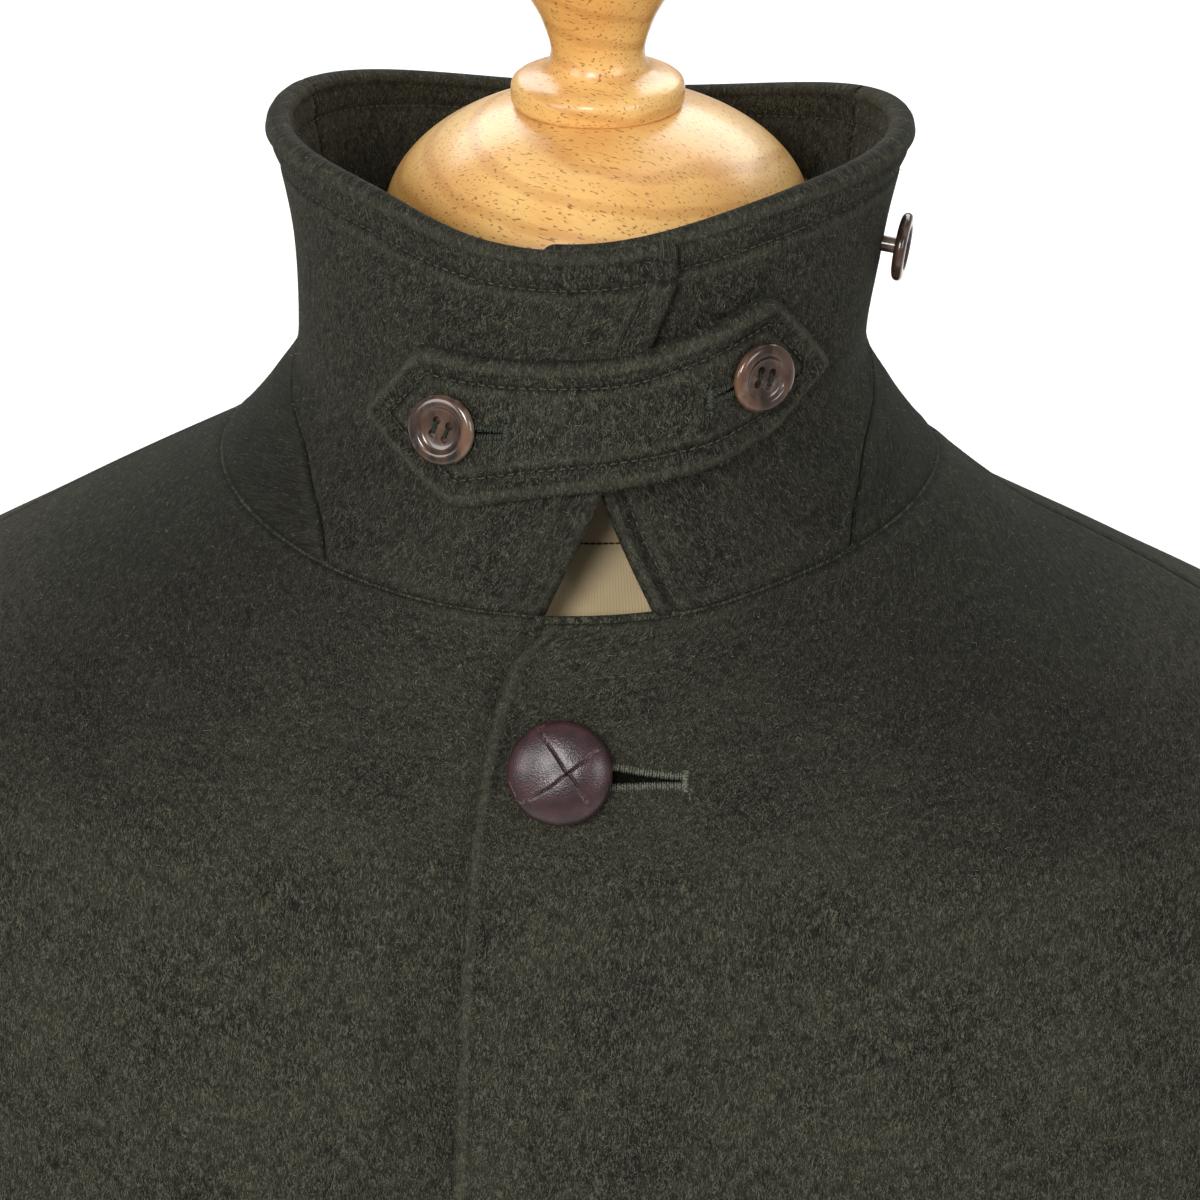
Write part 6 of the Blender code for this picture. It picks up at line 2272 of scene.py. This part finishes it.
def on_sleeve(centre: Array, normal: Array) -> Array:
    """Hairs on the outside of a sleeve, denser at its top."""
    axis_x, axis_y = np.sign(centre[:, 0]) * SLEEVE_AXIS[0], SLEEVE_AXIS[1]
    level = (centre[:, 0] - axis_x) * normal[:, 0] + (centre[:, 1] - axis_y) * normal[:, 1]
    return (level > 0) * (0.3 + 0.7 * fade_down(centre[:, 2]))


def everywhere(centre: Array, normal: Array) -> Array:
    """The same density on both faces."""
    return np.ones(len(centre))


# ------------------------------------------------------------------ the studio


@dataclass
class Studio:
    """Plain studio: a pale floor, soft boxes and the camera of the photograph."""

    target: tuple[float, float, float] = (0.0102, -0.0998, 1.460)
    azimuth: float = 5.5
    elevation: float = 24.0
    distance: float = 1.33
    lens: float = 151.2
    floor_size: float = 26.0

    def camera(self) -> None:
        """Places the camera; its sensor spans the picture's 1200 pixels."""
        turn, rise = math.radians(self.azimuth), math.radians(self.elevation)
        away = Vector((math.sin(turn) * math.cos(rise), -math.cos(turn) * math.cos(rise), math.sin(rise)))
        data = bpy.data.cameras.new("camera")
        data.lens = self.lens
        data.sensor_width = 36.0
        data.clip_start = 0.05
        item = bpy.data.objects.new("camera", data)
        item.location = Vector(self.target) + away * self.distance
        item.rotation_euler = away.to_track_quat("Z", "Y").to_euler()
        bpy.context.scene.collection.objects.link(item)
        bpy.context.scene.camera = item

    def light(self, name: str, place: tuple[float, float, float], size: float, power: float,
              aim: tuple[float, float, float] = (0, -0.05, 1.40)) -> None:
        """A square soft box that faces the coat's collar, or another aim."""
        data = bpy.data.lights.new(name, "AREA")
        data.shape = "SQUARE"
        data.size = size
        data.energy = power
        item = bpy.data.objects.new(name, data)
        item.location = place
        item.rotation_euler = (Vector(place) - Vector(aim)).to_track_quat("Z", "Y").to_euler()
        bpy.context.scene.collection.objects.link(item)

    def world(self) -> None:
        """A near-white surround."""
        world = bpy.data.worlds.new("surround")
        world.use_nodes = True
        background = world.node_tree.nodes["Background"]
        background.inputs["Color"].default_value = (1, 1, 1, 1)
        background.inputs["Strength"].default_value = 0.3
        bpy.context.scene.world = world

    def floor(self) -> None:
        """A wide pale floor with rounded corners."""
        bm = bmesh.new()
        half, corner = self.floor_size / 2, 1.2
        rim = []
        for k in range(4):
            turn = math.pi / 4 + k * math.pi / 2
            cx = (half - corner) * math.copysign(1, math.cos(turn))
            cy = (half - corner) * math.copysign(1, math.sin(turn))
            for t in np.linspace(k * math.pi / 2, (k + 1) * math.pi / 2, 13):
                rim.append(bm.verts.new((cx + corner * math.cos(t), cy + corner * math.sin(t), 0)))
        bm.faces.new(rim)
        mesh = bpy.data.meshes.new("floor")
        bm.to_mesh(mesh)
        bm.free()
        g = Look("floor")
        color = g.mix(g.noise(g.object_place(), 1.7, 3.0), (0.88, 0.88, 0.87, 1), (0.92, 0.92, 0.91, 1))
        material = g.finish(color, Roughness=0.85)
        make_object("floor", mesh, material)

    def build(self) -> None:
        """Sets the camera, the floor and the lights."""
        self.camera()
        self.world()
        self.floor()
        self.light("front_box", (-0.35, -1.9, 2.4), 0.6, 26)
        self.light("key_box", (-1.7, -1.6, 2.2), 0.9, 16)
        self.light("fill_box", (1.8, -1.5, 2.1), 0.9, 14)
        self.light("top_box", (0.1, 0.9, 3.4), 1.4, 6)
        self.light("ground_box", (0.0, 4.3, 3.6), 5.0, 270, (0.0, 4.3, 0.0))
        bpy.context.scene.view_settings.view_transform = "Standard"




def main() -> None:
    """Builds the coat, its form and the studio, piece by piece."""
    logging.basicConfig(level=logging.INFO, format="%(message)s")
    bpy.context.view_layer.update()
    wool = felt_group()
    cloth = LodenFinish().make(wool)
    # a copy of the cloth darkened all over as painted shade, for the collar and the tab
    shaded_cloth = LodenFinish(name="collar_cloth", painted_shade=0.2).make(wool)
    hair = FibreFinish().make()
    thread = ThreadFinish("olive_thread", srgb(42, 42, 35), srgb(86, 85, 70)).make()
    silk = ThreadFinish("buttonhole_twist", srgb(56, 58, 49), srgb(114, 116, 101)).make()
    dark_silk = ThreadFinish("tab_twist", srgb(34, 36, 30), srgb(76, 79, 68)).make()
    strong = ThreadFinish("button_thread", srgb(20, 24, 21), srgb(56, 62, 54)).make()
    # painted shade for the buttonholes' slits, made with the thread finish
    shade = ThreadFinish("buttonhole_slit", srgb(10, 10, 8), srgb(17, 17, 14), 0.0).make()
    leather, horn = LeatherFinish().make(), HornFinish().make()
    beech, cover = BeechFinish().make(), CoverFinish().make()

    body, sleeves, collar, tab = CoatBody(), Sleeves(), Collar(), ThroatTab()
    body.build(cloth)
    arms = sleeves.build(cloth)
    collar.build(shaded_cloth)
    tab.build(shaded_cloth)
    buttons = FootballButtons()
    buttons.build(leather)
    HornButtons().build(horn, strong)
    DressForm().build(beech, cover)

    sewing = Sewing(collar, tab, buttons)
    sewing.allowances(cloth)
    sewing.topstitching(stitch_group(), thread)
    sewing.buttonholes(silk, dark_silk, shade)

    nap = Nap()
    nap.grow(body.pieces["front_left"], 34000, near_collar, hair, SEED + 1)
    nap.grow(body.pieces["front_right"], 30000, near_collar, hair, SEED + 2)
    nap.grow(body.pieces["back"], 13000, near_collar, hair, SEED + 3)
    for k, node in enumerate(("collar_front_left", "collar_front_right", "collar_back")):
        nap.grow(collar.pieces[node], (8000, 9500, 9000)[k], everywhere, hair, SEED + 4 + k)
    nap.grow(tab.piece, 3800, outside, hair, SEED + 7)
    for k, arm in enumerate(arms):
        nap.grow(arm, 6500, on_sleeve, hair, SEED + 8 + k)

    Studio().build()


if __name__ == "__main__":
    main()
